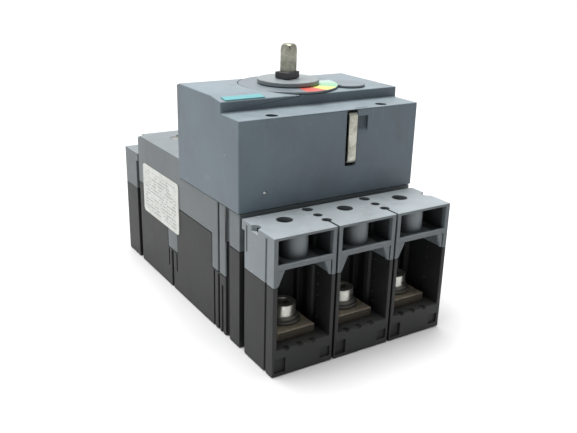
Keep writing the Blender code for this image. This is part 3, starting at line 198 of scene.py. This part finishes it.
def soften(node, name, body, material, radius, segments=2, whole=3):
    """The node's own shape with its sharp edges rounded, less where a face beside the edge is narrow.
    Faces with up to whole corners stay in one piece."""
    shape = bmesh.new()
    shape.from_mesh(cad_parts[node].data)
    bmesh.ops.remove_doubles(shape, verts=shape.verts, dist=SAME_POINT)
    bmesh.ops.dissolve_limit(shape, angle_limit=FLAT_ANGLE, verts=shape.verts, edges=shape.edges)
    room = {face: 2.0 * face.calc_area() / face.calc_perimeter() for face in shape.faces}
    weight = shape.edges.layers.float.new("bevel_weight_edge")
    for edge in shape.edges:
        if len(edge.link_faces) == 2 and edge.calc_face_angle(0.0) > SHARP_ANGLE:
            free = min([edge.calc_length()] + [room[face] for face in edge.link_faces])
            edge[weight] = min(1.0, 0.35 * free / radius)
            edge.smooth = edge[weight] > 0.12
    bmesh.ops.triangulate(shape, faces=[face for face in shape.faces if len(face.verts) > whole])
    mesh = bpy.data.meshes.new(name)
    shape.to_mesh(mesh)
    shape.free()
    mesh.materials.append(material)
    mesh.polygons.foreach_set("use_smooth", [True] * len(mesh.polygons))
    piece = bpy.data.objects.new(name, mesh)
    bpy.context.scene.collection.objects.link(piece)
    bevel = piece.modifiers.new("mould_radius", "BEVEL")
    bevel.width = radius
    bevel.segments = segments
    bevel.limit_method = "WEIGHT"
    bevel.use_clamp_overlap = False
    bevel.loop_slide = False
    bevel.miter_outer = "MITER_ARC"
    flat = piece.modifiers.new("flat_faces", "WEIGHTED_NORMAL")
    flat.weight = 100
    flat.keep_sharp = True
    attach(piece, body)
    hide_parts(node)
    return piece


base_plastic = moulded("black_polyamide", (0.017, 0.018, 0.018, 1.0), (0.11, 0.11, 0.10, 1.0), 0.5, 0.22,
                       shade_depth=0.95, shine=0.32)
soften("base", "base_moulding", "case", base_plastic, 0.0003)

# ---------------------------------------------------------------- wall bumps
# Each line terminal compartment has a column of five small studs on its right-hand wall. They are part of
# the base's moulding, on a pitch of 5.9 mm.


class Pattern:
    """A Geometry Nodes tree with named sizes, evaluated once into a plain mesh."""

    def __init__(self, name):
        self.name = name
        self.tree = bpy.data.node_groups.new(name, "GeometryNodeTree")
        self.tree.interface.new_socket("Geometry", in_out="OUTPUT", socket_type="NodeSocketGeometry")
        self.given = self.tree.nodes.new("NodeGroupInput")
        self.values = {}

    def size(self, name, value, kind="NodeSocketFloat"):
        socket = self.tree.interface.new_socket(name, in_out="INPUT", socket_type=kind)
        self.values[socket.identifier] = value
        return self.given.outputs[name]

    def node(self, kind, inputs=None, settings=None, output=0):
        node = self.tree.nodes.new(kind)
        for name, value in (settings or {}).items():
            setattr(node, name, value)
        for name, value in (inputs or {}).items():
            if isinstance(value, bpy.types.NodeSocket):
                self.tree.links.new(value, node.inputs[name])
            else:
                node.inputs[name].default_value = value
        return node.outputs[output]

    def triple(self, x=0.0, y=0.0, z=0.0):
        return self.node("ShaderNodeCombineXYZ", {"X": x, "Y": y, "Z": z})

    def grow(self, geometry, material, body, place=None):
        """Ends the tree, evaluates it once, moves the mesh to place and lets it ride on its body."""
        solid = self.node("GeometryNodeRealizeInstances", {"Geometry": geometry})
        solid = self.node("GeometryNodeSetMaterial", {"Geometry": solid, "Material": material})
        end = self.tree.nodes.new("NodeGroupOutput")
        self.tree.links.new(solid, end.inputs[0])
        piece = bpy.data.objects.new(self.name, bpy.data.meshes.new(self.name + "_seed"))
        bpy.context.scene.collection.objects.link(piece)
        modifier = piece.modifiers.new("pattern", "NODES")
        modifier.node_group = self.tree
        for identifier, value in self.values.items():
            modifier[identifier] = value
        graph = bpy.context.evaluated_depsgraph_get()
        mesh = bpy.data.meshes.new_from_object(piece.evaluated_get(graph), depsgraph=graph)
        piece.modifiers.clear()
        mesh.transform(place or Matrix.Identity(4))
        mesh.name = self.name
        piece.data = mesh
        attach(piece, body)
        return piece


POLE_PITCH = 0.035
WALL = 0.0149
STUD_Y = -0.0812
LOWEST_STUD = 0.0190
for pole in (1, 2, 3):
    studs = Pattern("wall_studs_%d" % pole)
    pitch = studs.size("Pitch", 0.0059)
    radius = studs.size("Radius", 0.00075)
    count = studs.size("Count", 5, "NodeSocketInt")
    line = studs.node("GeometryNodeMeshLine", {"Count": count, "Offset": studs.triple(z=pitch)})
    stud = studs.node("GeometryNodeMeshUVSphere", {"Segments": 14, "Rings": 8, "Radius": radius})
    stud = studs.node("GeometryNodeTransform", {"Geometry": stud, "Scale": (0.7, 1.0, 1.0)})
    rows = studs.node("GeometryNodeInstanceOnPoints", {"Points": line, "Instance": stud})
    foot = Matrix.Translation(((pole - 2) * POLE_PITCH + WALL, STUD_Y, LOWEST_STUD))
    studs.grow(rows, base_plastic, "case", foot)

# ---------------------------------------------------------------- terminals
# Each pole's conductor is a tin-plated copper bar that has gone brown, with a zinc-plated M8 socket-head
# screw and its captive washer on it. The screw's head is turned, and its plating is bright where keys rub.


def plated(name, colour, stain, rough=0.3, stained=0.5, lines=(40.0, 40.0, 2600.0), lift=0.5, dull=0.0,
           faces_to_darken=None, shade_share=0.0):
    """Plated metal: fine tool marks along one way, clouds of tarnish, dull specks and painted shade in corners; a
    given face mask adds tarnish and, by its share, painted shade.
    """
    material = blank(name)
    tree = material.node_tree
    start = Grain(tree)
    place = start.add("TexCoord", output="Object")
    marks = start.noise(start.stretched(place, lines), 1.0, 3.0, 0.6)
    cloud = start.noise(place, 0.006, 5.0, 0.65, 0.5)
    specks = start.noise(place, 0.0009, 3.0, 0.6).between(0.56, 0.70)
    edge = start.rubbed(0.0005).between(0.02, 0.25)
    tarnish = (cloud.between(0.36, 0.72) + specks * 0.5) * stained * (1.0 - edge * 0.7)
    # Painted shade: corners and bores are tinted dark.
    pocket_shade = start.sheltered(0.005).between(0.25, 0.75)
    # The given face mask adds tarnish, and by its share it also darkens as painted shade.
    if faces_to_darken is not None:
        stain_and_shade = faces_to_darken(start, place) * (1.0 - edge * 0.5)
        tarnish = start.maths("MAXIMUM", tarnish, stain_and_shade)
        pocket_shade = start.maths("MAXIMUM", pocket_shade, stain_and_shade * shade_share)
    bright = marks.between(0.3, 0.7).tint(tuple(c * 0.85 for c in colour[:3]) + (1.0,), colour)
    body = tarnish.between(0.0, 1.0).tint(bright, stain)
    body = pocket_shade.tint(body, tuple(c * 0.2 for c in stain[:3]) + (1.0,))
    matt = rough + (marks - 0.5) * 0.2 + tarnish * 0.3
    metal = (1.0 - tarnish * dull).between(0.0, 1.0)
    shade(tree, body, matt.between(0.0, 1.0), marks * 0.6 + specks * 0.4, lift, metal, 0.00003)
    return material


def end_face_shade(start, place):
    """Painted shade: 1 on a bar's end faces, those facing front and back."""
    facing = start.add("SeparateXYZ", inputs={0: start.add("NewGeometry", output="Normal")}, output="Y")
    return start.maths("ABSOLUTE", facing).between(0.75, 0.95)


def washers_and_socket(start, place):
    """1 on the two dull washers and, more faintly, on the oily top of the screw's head."""
    height = start.add("SeparateXYZ", inputs={0: place}, output="Z")
    up = start.add("SeparateXYZ", inputs={0: start.add("NewGeometry", output="Normal")}, output="Z")
    washers = 1.0 - height.between(0.0216, 0.0219)
    return start.maths("MAXIMUM", washers * 0.85, up.between(0.8, 0.95) * height.between(0.0240, 0.0245) * 0.9)


# The bars' end faces are darkened with painted shade at full share.
bar_metal = plated("tarnished_bar", (0.74, 0.66, 0.52, 1.0), (0.250, 0.215, 0.155, 1.0), 0.5, 0.75,
                   (30.0, 1900.0, 60.0), dull=0.7, faces_to_darken=end_face_shade, shade_share=1.0)
screw_metal = plated("bright_zinc", (0.66, 0.66, 0.61, 1.0), (0.10, 0.098, 0.085, 1.0), 0.27, 0.42, dull=0.5,
                     faces_to_darken=washers_and_socket, shade_share=0.35)
for end in ("line", "load"):
    for pole in (1, 2, 3):
        soften("%s_conductor_%d" % (end, pole), "%s_bar_%d" % (end, pole), "case",
               bar_metal, 0.0004)
        soften("%s_terminal_screw_%d" % (end, pole), "%s_clamp_screw_%d" % (end, pole), "case",
               screw_metal, 0.00035, 3)

# ---------------------------------------------------------------- inside the case
# The closed case hides the arc chutes, contacts, latch and trip parts. They are pressed steel, bare copper,
# and black and cream-coloured insulation, and they keep the frame's own shapes.


def dress(material, *nodes):
    for node in nodes:
        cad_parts[node].material_slots[0].material = material


poles = (1, 2, 3)
rolled = plated("rolled_steel", (0.30, 0.30, 0.31, 1.0), (0.12, 0.10, 0.09, 1.0), 0.45, 0.5, (30.0, 1400.0, 30.0))
copper = plated("bare_copper", (0.70, 0.42, 0.28, 1.0), (0.30, 0.17, 0.10, 1.0), 0.38, 0.6, (1800.0, 30.0, 30.0))
spring_wire = plated("spring_wire", (0.55, 0.55, 0.55, 1.0), (0.22, 0.20, 0.18, 1.0), 0.3, 0.4)
cream = moulded("cream_insulation", (0.50, 0.44, 0.30, 1.0), (0.45, 0.42, 0.35, 1.0))
black = moulded("black_insulation", (0.022, 0.022, 0.024, 1.0), (0.12, 0.12, 0.11, 1.0), 0.4)
dress(rolled, *("arc_chute_%d" % n for n in poles), "mechanism_frame", "operator_base_plate", "drive_cam")
dress(copper, *("contact_arm_%d" % n for n in poles), *("flexible_lead_%d" % n for n in poles))
dress(cream, *("current_transformer_%d" % n for n in poles), "trip_bar")
dress(black, "contact_crossbar", "toggle_lever", "trip_unit")
dress(spring_wire, "lever_pivot_pin", "latch_pin", "latch", "drive_carriage")

# ---------------------------------------------------------------- springs
# The two main springs pull on the toggle lever, and a small spring lifts the trip button. They are coiled
# from zinc-plated spring wire. The button's spring stands on the trip unit and is pressed shorter.


def wound(node, body, wire, turns):
    """A helix of wire in the place and size of the node."""
    low, high = (Vector(corner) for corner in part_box(node))
    spring = Pattern(node + "_wire")
    thick = spring.size("Wire Radius", wire)
    width = spring.size("Coil Radius", 0.5 * (high.x - low.x) - wire)
    rise = spring.size("Height", high.z - low.z - 2.0 * wire)
    count = spring.size("Turns", turns)
    path = spring.node("GeometryNodeCurveSpiral", {
        "Resolution": 24, "Rotations": count, "Start Radius": width, "End Radius": width, "Height": rise})
    ring = spring.node("GeometryNodeCurvePrimitiveCircle", {"Resolution": 10, "Radius": thick})
    tube = spring.node("GeometryNodeCurveToMesh", {"Curve": path, "Profile Curve": ring, "Fill Caps": True})
    tube = spring.node("GeometryNodeSetShadeSmooth", {0: tube})
    foot = Matrix.Translation(((low.x + high.x) / 2, (low.y + high.y) / 2, low.z + wire))
    piece = spring.grow(tube, spring_wire, body, foot)
    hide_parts(node)
    return piece, low, high


MAIN_WIRE = 0.00055
LIFTER_WIRE = 0.00035
for side in ("left", "right"):
    wound("main_spring_" + side, "toggle_lever", MAIN_WIRE, 4.5)
lifter, low, high = wound("trip_button_spring", "case", LIFTER_WIRE, 4.0)
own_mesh(lifter)

# ---------------------------------------------------------------- main cover
# The blue-grey cover closes the base over the mechanism and the trip unit. It is the same plastic in
# another colour, held by four recessed screws.
DUST = (0.37, 0.42, 0.44, 1.0)
cover_plastic = moulded("blue_grey_cover", (0.093, 0.108, 0.114, 1.0), DUST, 0.44, 0.40, 0.5)
soften("cover", "cover_moulding", "case", cover_plastic, 0.0004)
head_metal = plated("dark_zinc", (0.42, 0.41, 0.38, 1.0), (0.14, 0.12, 0.10, 1.0), 0.35, 0.6)
for number in (1, 2, 3, 4):
    soften("cover_screw_%d" % number, "cover_fixing_%d" % number, "case", head_metal, 0.0002)

# ---------------------------------------------------------------- terminal covers
# A moulding closes each end over the terminals, with a round guide for the key above each screw and a comb
# of teeth at each window. The line end's is a lighter grey, and painted shade darkens the walls inside its
# windows.


def window_shade(start, place):
    """Painted shade: nearly 1 on the side and back walls inside the windows, less on the frames' front faces, 0
    elsewhere.
    """
    x, y, z = (start.add("SeparateXYZ", inputs={0: place}, output=axis) for axis in "XYZ")
    aside = start.maths("PINGPONG", x, 0.0175)
    inside = z.between(0.0550, 0.0553) * (1.0 - z.between(0.0683, 0.0685)) * y.between(-0.0910, -0.0895)
    sides = aside.between(0.0078, 0.0100) * (1.0 - aside.between(0.01495, 0.0151))
    back = y.between(-0.0690, -0.0680) * (1.0 - y.between(-0.0674, -0.0670))
    facing = start.add("SeparateXYZ", inputs={0: start.add("NewGeometry", output="Normal")}, output="Y")
    frames = (1.0 - facing.between(-0.95, -0.75)) * (1.0 - y.between(-0.0923, -0.0918)) * 0.38
    return start.maths("MAXIMUM", start.maths("MAXIMUM", sides, back) * inside * 0.94, frames)


end_plastic = moulded("pale_grey_cover", (0.160, 0.185, 0.200, 1.0), (0.47, 0.51, 0.53, 1.0), 0.42, 0.42, 0.8,
                      inner_shade=window_shade)
soften("line_terminal_cover", "line_end_cover", "case", end_plastic, 0.0003)
soften("load_terminal_cover", "load_end_cover", "case", cover_plastic, 0.0003)

# ---------------------------------------------------------------- trip unit front
# Two cream setting dials show through a dark panel behind the operator, each inside a ring of printed ticks,
# and the red button that trips the breaker by hand stands beside them.
dial_plastic = moulded("cream_dial", (0.52, 0.47, 0.35, 1.0), (0.4, 0.38, 0.32, 1.0), 0.4)
red_plastic = moulded("red_button", (0.45, 0.035, 0.025, 1.0), (0.4, 0.2, 0.18, 1.0), 0.32)
for node in ("overload_dial", "short_circuit_dial"):
    soften(node, node + "_knob", node, dial_plastic, 0.00025)
soften("trip_button", "trip_button_cap", "trip_button", red_plastic, 0.0003, 3)
tick_paint = moulded("tick_paint", (0.42, 0.42, 0.38, 1.0), (0.3, 0.3, 0.28, 1.0), 0.5)
TICKS = 11
for node in ("overload_dial", "short_circuit_dial"):
    low, high = (Vector(corner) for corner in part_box(node))
    ticks = Pattern(node + "_ticks")
    count = ticks.size("Count", TICKS, "NodeSocketInt")
    ring = ticks.size("Radius", 0.5 * (high.x - low.x) + 0.0016)
    sweep = ticks.size("Step Angle", math.radians(24.0))
    length = ticks.size("Length", 0.0014)
    order = ticks.node("ShaderNodeMath", {0: ticks.node("GeometryNodeInputIndex"), 1: (TICKS - 1) / 2},
                       {"operation": "SUBTRACT"})
    angle = ticks.node("ShaderNodeMath", {0: order, 1: sweep}, {"operation": "MULTIPLY"})
    across = ticks.node("ShaderNodeMath", {0: angle}, {"operation": "SINE"})
    towards = ticks.node("ShaderNodeMath", {0: angle}, {"operation": "COSINE"})
    around = ticks.triple(ticks.node("ShaderNodeMath", {0: across, 1: ring}, {"operation": "MULTIPLY"}),
                          ticks.node("ShaderNodeMath", {0: towards, 1: ring}, {"operation": "MULTIPLY"}))
    dots = ticks.node("GeometryNodeMeshLine", {"Count": count})
    dots = ticks.node("GeometryNodeSetPosition", {"Geometry": dots, "Position": around})
    mark = ticks.node("GeometryNodeMeshCube", {"Size": ticks.triple(0.00035, length, 0.00012)})
    turned = ticks.triple(z=ticks.node("ShaderNodeMath", {0: angle, 1: -1.0}, {"operation": "MULTIPLY"}))
    marks = ticks.node("GeometryNodeInstanceOnPoints", {"Points": dots, "Instance": mark, "Rotation": turned})
    middle = Matrix.Translation(((low.x + high.x) / 2, (low.y + high.y) / 2, high.z + 0.00004))
    ticks.grow(marks, tick_paint, "case", middle)

# ---------------------------------------------------------------- rotary operator
# The boxed rotary operator sits on the cover: one blue-grey housing with a lower ledge at the front,
# held by two deep screws, with a slot for the padlock strap. A bright pin stands in its front.


def recess_shade(start, place):
    """Painted shade: 0.5 in the finger recess beside the padlock strap, 0 elsewhere."""
    x, y, z = (start.add("SeparateXYZ", inputs={0: place}, output=axis) for axis in "XYZ")
    recess = y.between(-0.0607, -0.0602) * (1.0 - y.between(-0.0585, -0.0580))
    return recess * x.between(0.0135, 0.0140) * (1.0 - x.between(0.0210, 0.0215)) * z.between(0.1040, 0.1070) * 0.5


housing_plastic = moulded("blue_grey_housing", (0.080, 0.113, 0.138, 1.0), DUST, 0.42, 0.5, 0.85,
                          inner_shade=recess_shade)
soften("operator_housing", "operator_box", "case", housing_plastic, 0.0006, 3, whole=10)
for side in ("left", "right"):
    soften("operator_screw_" + side, "operator_fixing_" + side, "case", head_metal, 0.0002)
pin_metal = plated("bright_pin", (0.85, 0.85, 0.82, 1.0), (0.40, 0.39, 0.35, 1.0), 0.3, 0.2)
soften("locating_pin", "locating_pin_turned", "case", pin_metal, 0.0002)

# ---------------------------------------------------------------- nameplate strip and side label
# A teal printed strip lies along the operator's front edge, and a white film label on the left side. The
# label holds only plain grey bars.
strip_film = blank("teal_film")
tree = strip_film.node_tree
start = Grain(tree)
place = start.add("TexCoord", output="Object")
wear = start.noise(place, 0.0009, 4.0, 0.7).between(0.35, 0.85)
shade(tree, wear.tint((0.07, 0.27, 0.29, 1.0), (0.12, 0.35, 0.37, 1.0)), 0.28 + wear * 0.15,
      start.noise(place, 0.0006), 0.2)
soften("nameplate_strip", "nameplate_film", "case", strip_film, 0.0002)
label_film = blank("label_film")
tree = label_film.node_tree
start = Grain(tree)
place = start.add("TexCoord", output="Object")
low, high = (Vector(corner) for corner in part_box("side_label"))
along = (start.add("SeparateXYZ", inputs={0: place}, output="Y") - low.y) / (high.y - low.y)
above = (start.add("SeparateXYZ", inputs={0: place}, output="Z") - low.z) / (high.z - low.z)
row = above * 15.0
step = along * 26.0
word = start.add("CombineXYZ", inputs={"X": step.maths("FLOOR", step), "Y": row.maths("FLOOR", row)})
gaps = start.add("TexWhiteNoise", {"noise_dimensions": "2D"}, {"Vector": word}, output="Value").between(0.42, 0.44)
bars = row.maths("FRACT", row).between(0.34, 0.40) * (1.0 - row.maths("FRACT", row).between(0.66, 0.72)) * gaps
inner = along.between(0.06, 0.07) * (1.0 - along.between(0.93, 0.94))
inner = inner * above.between(0.08, 0.09) * (1.0 - above.between(0.90, 0.91))
rule = along.between(0.300, 0.306) * (1.0 - along.between(0.312, 0.318))
wear = start.noise(place, 0.006, 5.0, 0.7).between(0.4, 0.8)
paper_white = wear.tint((0.62, 0.63, 0.60, 1.0), (0.48, 0.49, 0.46, 1.0))
printed = start.maths("MAXIMUM", bars * 0.62, rule * 0.5) * inner
shade(tree, printed.tint(paper_white, (0.13, 0.13, 0.13, 1.0)), 0.42 + wear * 0.2,
      start.noise(place, 0.0005), 0.15)
shape = bmesh.new()
shape.from_mesh(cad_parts["side_label"].data)
bmesh.ops.remove_doubles(shape, verts=shape.verts, dist=SAME_POINT)
bmesh.ops.dissolve_limit(shape, angle_limit=FLAT_ANGLE, verts=shape.verts, edges=shape.edges)
corners = [edge for edge in shape.edges if abs((edge.verts[0].co - edge.verts[1].co).normalized().x) > 0.9]
bmesh.ops.bevel(shape, geom=corners, offset=0.0025, segments=6, profile=0.5, affect="EDGES")
mesh = bpy.data.meshes.new("side_label_film")
shape.to_mesh(mesh)
shape.free()
mesh.materials.append(label_film)
label = bpy.data.objects.new("side_label_film", mesh)
bpy.context.scene.collection.objects.link(label)
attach(label, "case")
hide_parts("side_label")

# ---------------------------------------------------------------- indicator plate
# A thin grey plate lies round the shaft, with a small lobe on its right. Its red, yellow and green sectors
# are printed on it and mark the shaft's positions.
plate_plastic = blank("indicator_plastic")
tree = plate_plastic.node_tree
start = Grain(tree)
place = start.add("TexCoord", output="Object")
SHAFT_Y = -0.01775
x = start.add("SeparateXYZ", inputs={0: place}, output="X")
y = start.add("SeparateXYZ", inputs={0: place}, output="Y") - SHAFT_Y
turn = start.maths("ARCTAN2", y, x) * (180.0 / math.pi)
reach = start.maths("SQRT", x * x + y * y)
up = start.add("SeparateXYZ", inputs={0: start.add("NewGeometry", output="Normal")}, output="Z")
INNER_EDGE = 0.010
OUTER_EDGE = 0.0262
printed = up.between(0.8, 0.9) * (1.0 - reach.between(OUTER_EDGE, OUTER_EDGE + 0.0002))
printed = printed * reach.between(INNER_EDGE, INNER_EDGE + 0.0001)
grey = start.noise(place, 0.03, 4.0).between(0.3, 0.7).tint((0.120, 0.145, 0.165, 1.0), (0.150, 0.178, 0.200, 1.0))


def sector(low, high):
    """1 on the print between two angles in degrees about the shaft."""
    return printed * turn.between(low - 0.3, low + 0.3) * (1.0 - turn.between(high - 0.3, high + 0.3))


body = sector(-101.0, -74.0).tint(grey, (0.50, 0.075, 0.055, 1.0))
body = sector(-74.0, -50.0).tint(body, (0.56, 0.56, 0.13, 1.0))
body = sector(-50.0, -22.0).tint(body, (0.20, 0.40, 0.24, 1.0))
body = sector(-22.0, 0.0).tint(body, (0.33, 0.43, 0.38, 1.0))
film = start.noise(place, 0.006, 5.0, 0.7).between(0.5, 0.8)
shade(tree, (film * 0.25).tint(body, (0.42, 0.42, 0.40, 1.0)), 0.42 + film * 0.15, start.noise(place, 0.00034), 0.4)
soften("indicator_plate", "indicator_face", "case", plate_plastic, 0.0003, 3)

# ---------------------------------------------------------------- rotor, collar and shaft
# The rotor disc, the black square collar and the zinc-plated square shaft turn together. The shaft's tip is
# milled to four facets.
rotor_plastic = moulded("pale_rotor", (0.140, 0.162, 0.170, 1.0), (0.40, 0.42, 0.42, 1.0), 0.42)
shaft_metal = plated("yellowed_zinc", (0.40, 0.395, 0.33, 1.0), (0.12, 0.118, 0.09, 1.0), 0.30, 0.75,
                     (1300.0, 1300.0, 60.0))
soften("rotor_disc", "rotor_dial", "rotary_drive", rotor_plastic, 0.0005, 3)
soften("shaft_collar", "shaft_sleeve", "rotary_drive", black, 0.0003, 2)
soften("drive_shaft", "drive_shaft_bar", "rotary_drive", shaft_metal, 0.0004, 3)

# ---------------------------------------------------------------- padlock bracket
# A bent strap of zinc-plated steel slides out of the slot in the operator's front. A padlock through it
# keeps the shaft from being turned.
strap_metal = plated("strap_zinc", (0.62, 0.62, 0.55, 1.0), (0.26, 0.25, 0.19, 1.0), 0.34, 0.8, (1500.0, 60.0, 40.0))
soften("padlock_bracket", "padlock_strap", "padlock_bracket", strap_metal, 0.0003, 2)

# ---------------------------------------------------------------- studio
# A plain pale floor and a lit paper wall behind, with soft light from the left, the front and above. The
# camera looks down on the line terminals from the left.
floor_mesh = bpy.data.meshes.new("floor")
sheet = bmesh.new()
bmesh.ops.create_grid(sheet, x_segments=1, y_segments=1, size=8.0)
sheet.to_mesh(floor_mesh)
sheet.free()
floor = bpy.data.objects.new("floor", floor_mesh)
bpy.context.scene.collection.objects.link(floor)
floor_paint = blank("pale_floor")
tree = floor_paint.node_tree
start = Grain(tree)
place = start.add("TexCoord", output="Object")
shade(tree, start.noise(place, 0.5).tint((0.56, 0.56, 0.56, 1.0), (0.59, 0.59, 0.59, 1.0)), 0.7, None, 0.0)
floor_mesh.materials.append(floor_paint)
floor_mesh.transform(Matrix.Translation((0.0, 0.0, -0.0004)))

world = bpy.data.worlds.new("studio")
bpy.context.scene.world = world
world.use_nodes = True
world.node_tree.nodes["Background"].inputs["Color"].default_value = (1.0, 1.0, 1.0, 1.0)
world.node_tree.nodes["Background"].inputs["Strength"].default_value = 0.24
bpy.context.scene.view_settings.view_transform = "Standard"

paper_mesh = bpy.data.meshes.new("backdrop")
sheet = bmesh.new()
bmesh.ops.create_grid(sheet, x_segments=1, y_segments=1, size=8.0)
sheet.to_mesh(paper_mesh)
sheet.free()
paper_mesh.transform(Matrix.Translation((2.6, 5.2, 4.0)) @ Matrix.Rotation(math.radians(-32.5), 4, "Z")
                     @ Matrix.Rotation(math.radians(90.0), 4, "X"))
backdrop = bpy.data.objects.new("backdrop", paper_mesh)
bpy.context.scene.collection.objects.link(backdrop)
paper = blank("lit_paper")
tree = paper.node_tree
start = Grain(tree)
place = start.add("TexCoord", output="Object")
glow = start.add("Emission", inputs={
    "Color": start.noise(place, 2.0).tint((1.0, 1.0, 1.0, 1.0), (0.97, 0.98, 1.0, 1.0)), "Strength": 1.05},
    output="Emission")
tree.links.new(glow.socket, tree.nodes.new("ShaderNodeOutputMaterial").inputs["Surface"])
paper_mesh.materials.append(paper)


def softbox(name, place, aim, size, watts):
    lamp = bpy.data.lights.new(name, "AREA")
    lamp.shape = "RECTANGLE"
    lamp.size, lamp.size_y = size
    lamp.energy = watts
    holder = bpy.data.objects.new(name, lamp)
    holder.location = place
    holder.rotation_euler = (Vector(aim) - Vector(place)).to_track_quat("-Z", "Y").to_euler()
    bpy.context.scene.collection.objects.link(holder)


middle = (0.0, 0.0, 0.06)
softbox("key", (-1.05, 0.05, 0.55), middle, (0.6, 0.6), 1.6)
softbox("front", (0.3, -1.1, 0.6), middle, (0.8, 0.5), 0.8)
overhead = bpy.data.lights.new("overhead", "SUN")
overhead.energy = 5.6
overhead.angle = math.radians(50.0)
holder = bpy.data.objects.new("overhead", overhead)
holder.rotation_euler = (math.radians(-8.0), math.radians(-6.0), 0.0)
bpy.context.scene.collection.objects.link(holder)

lens = bpy.data.cameras.new("studio_camera")
lens.sensor_width = 36.0
lens.lens = 45.03
lens.clip_start = 0.01
camera = bpy.data.objects.new("studio_camera", lens)
HEADING = 32.5283
DIP = 19.9801
ROLL = 1.5204
camera.matrix_world = (Matrix.Translation((-0.204292, -0.342070, 0.186985))
                       @ Matrix.Rotation(math.radians(-HEADING), 4, "Z")
                       @ Matrix.Rotation(math.radians(90.0 - DIP), 4, "X")
                       @ Matrix.Rotation(math.radians(ROLL), 4, "Z"))
bpy.context.scene.collection.objects.link(camera)
bpy.context.scene.camera = camera
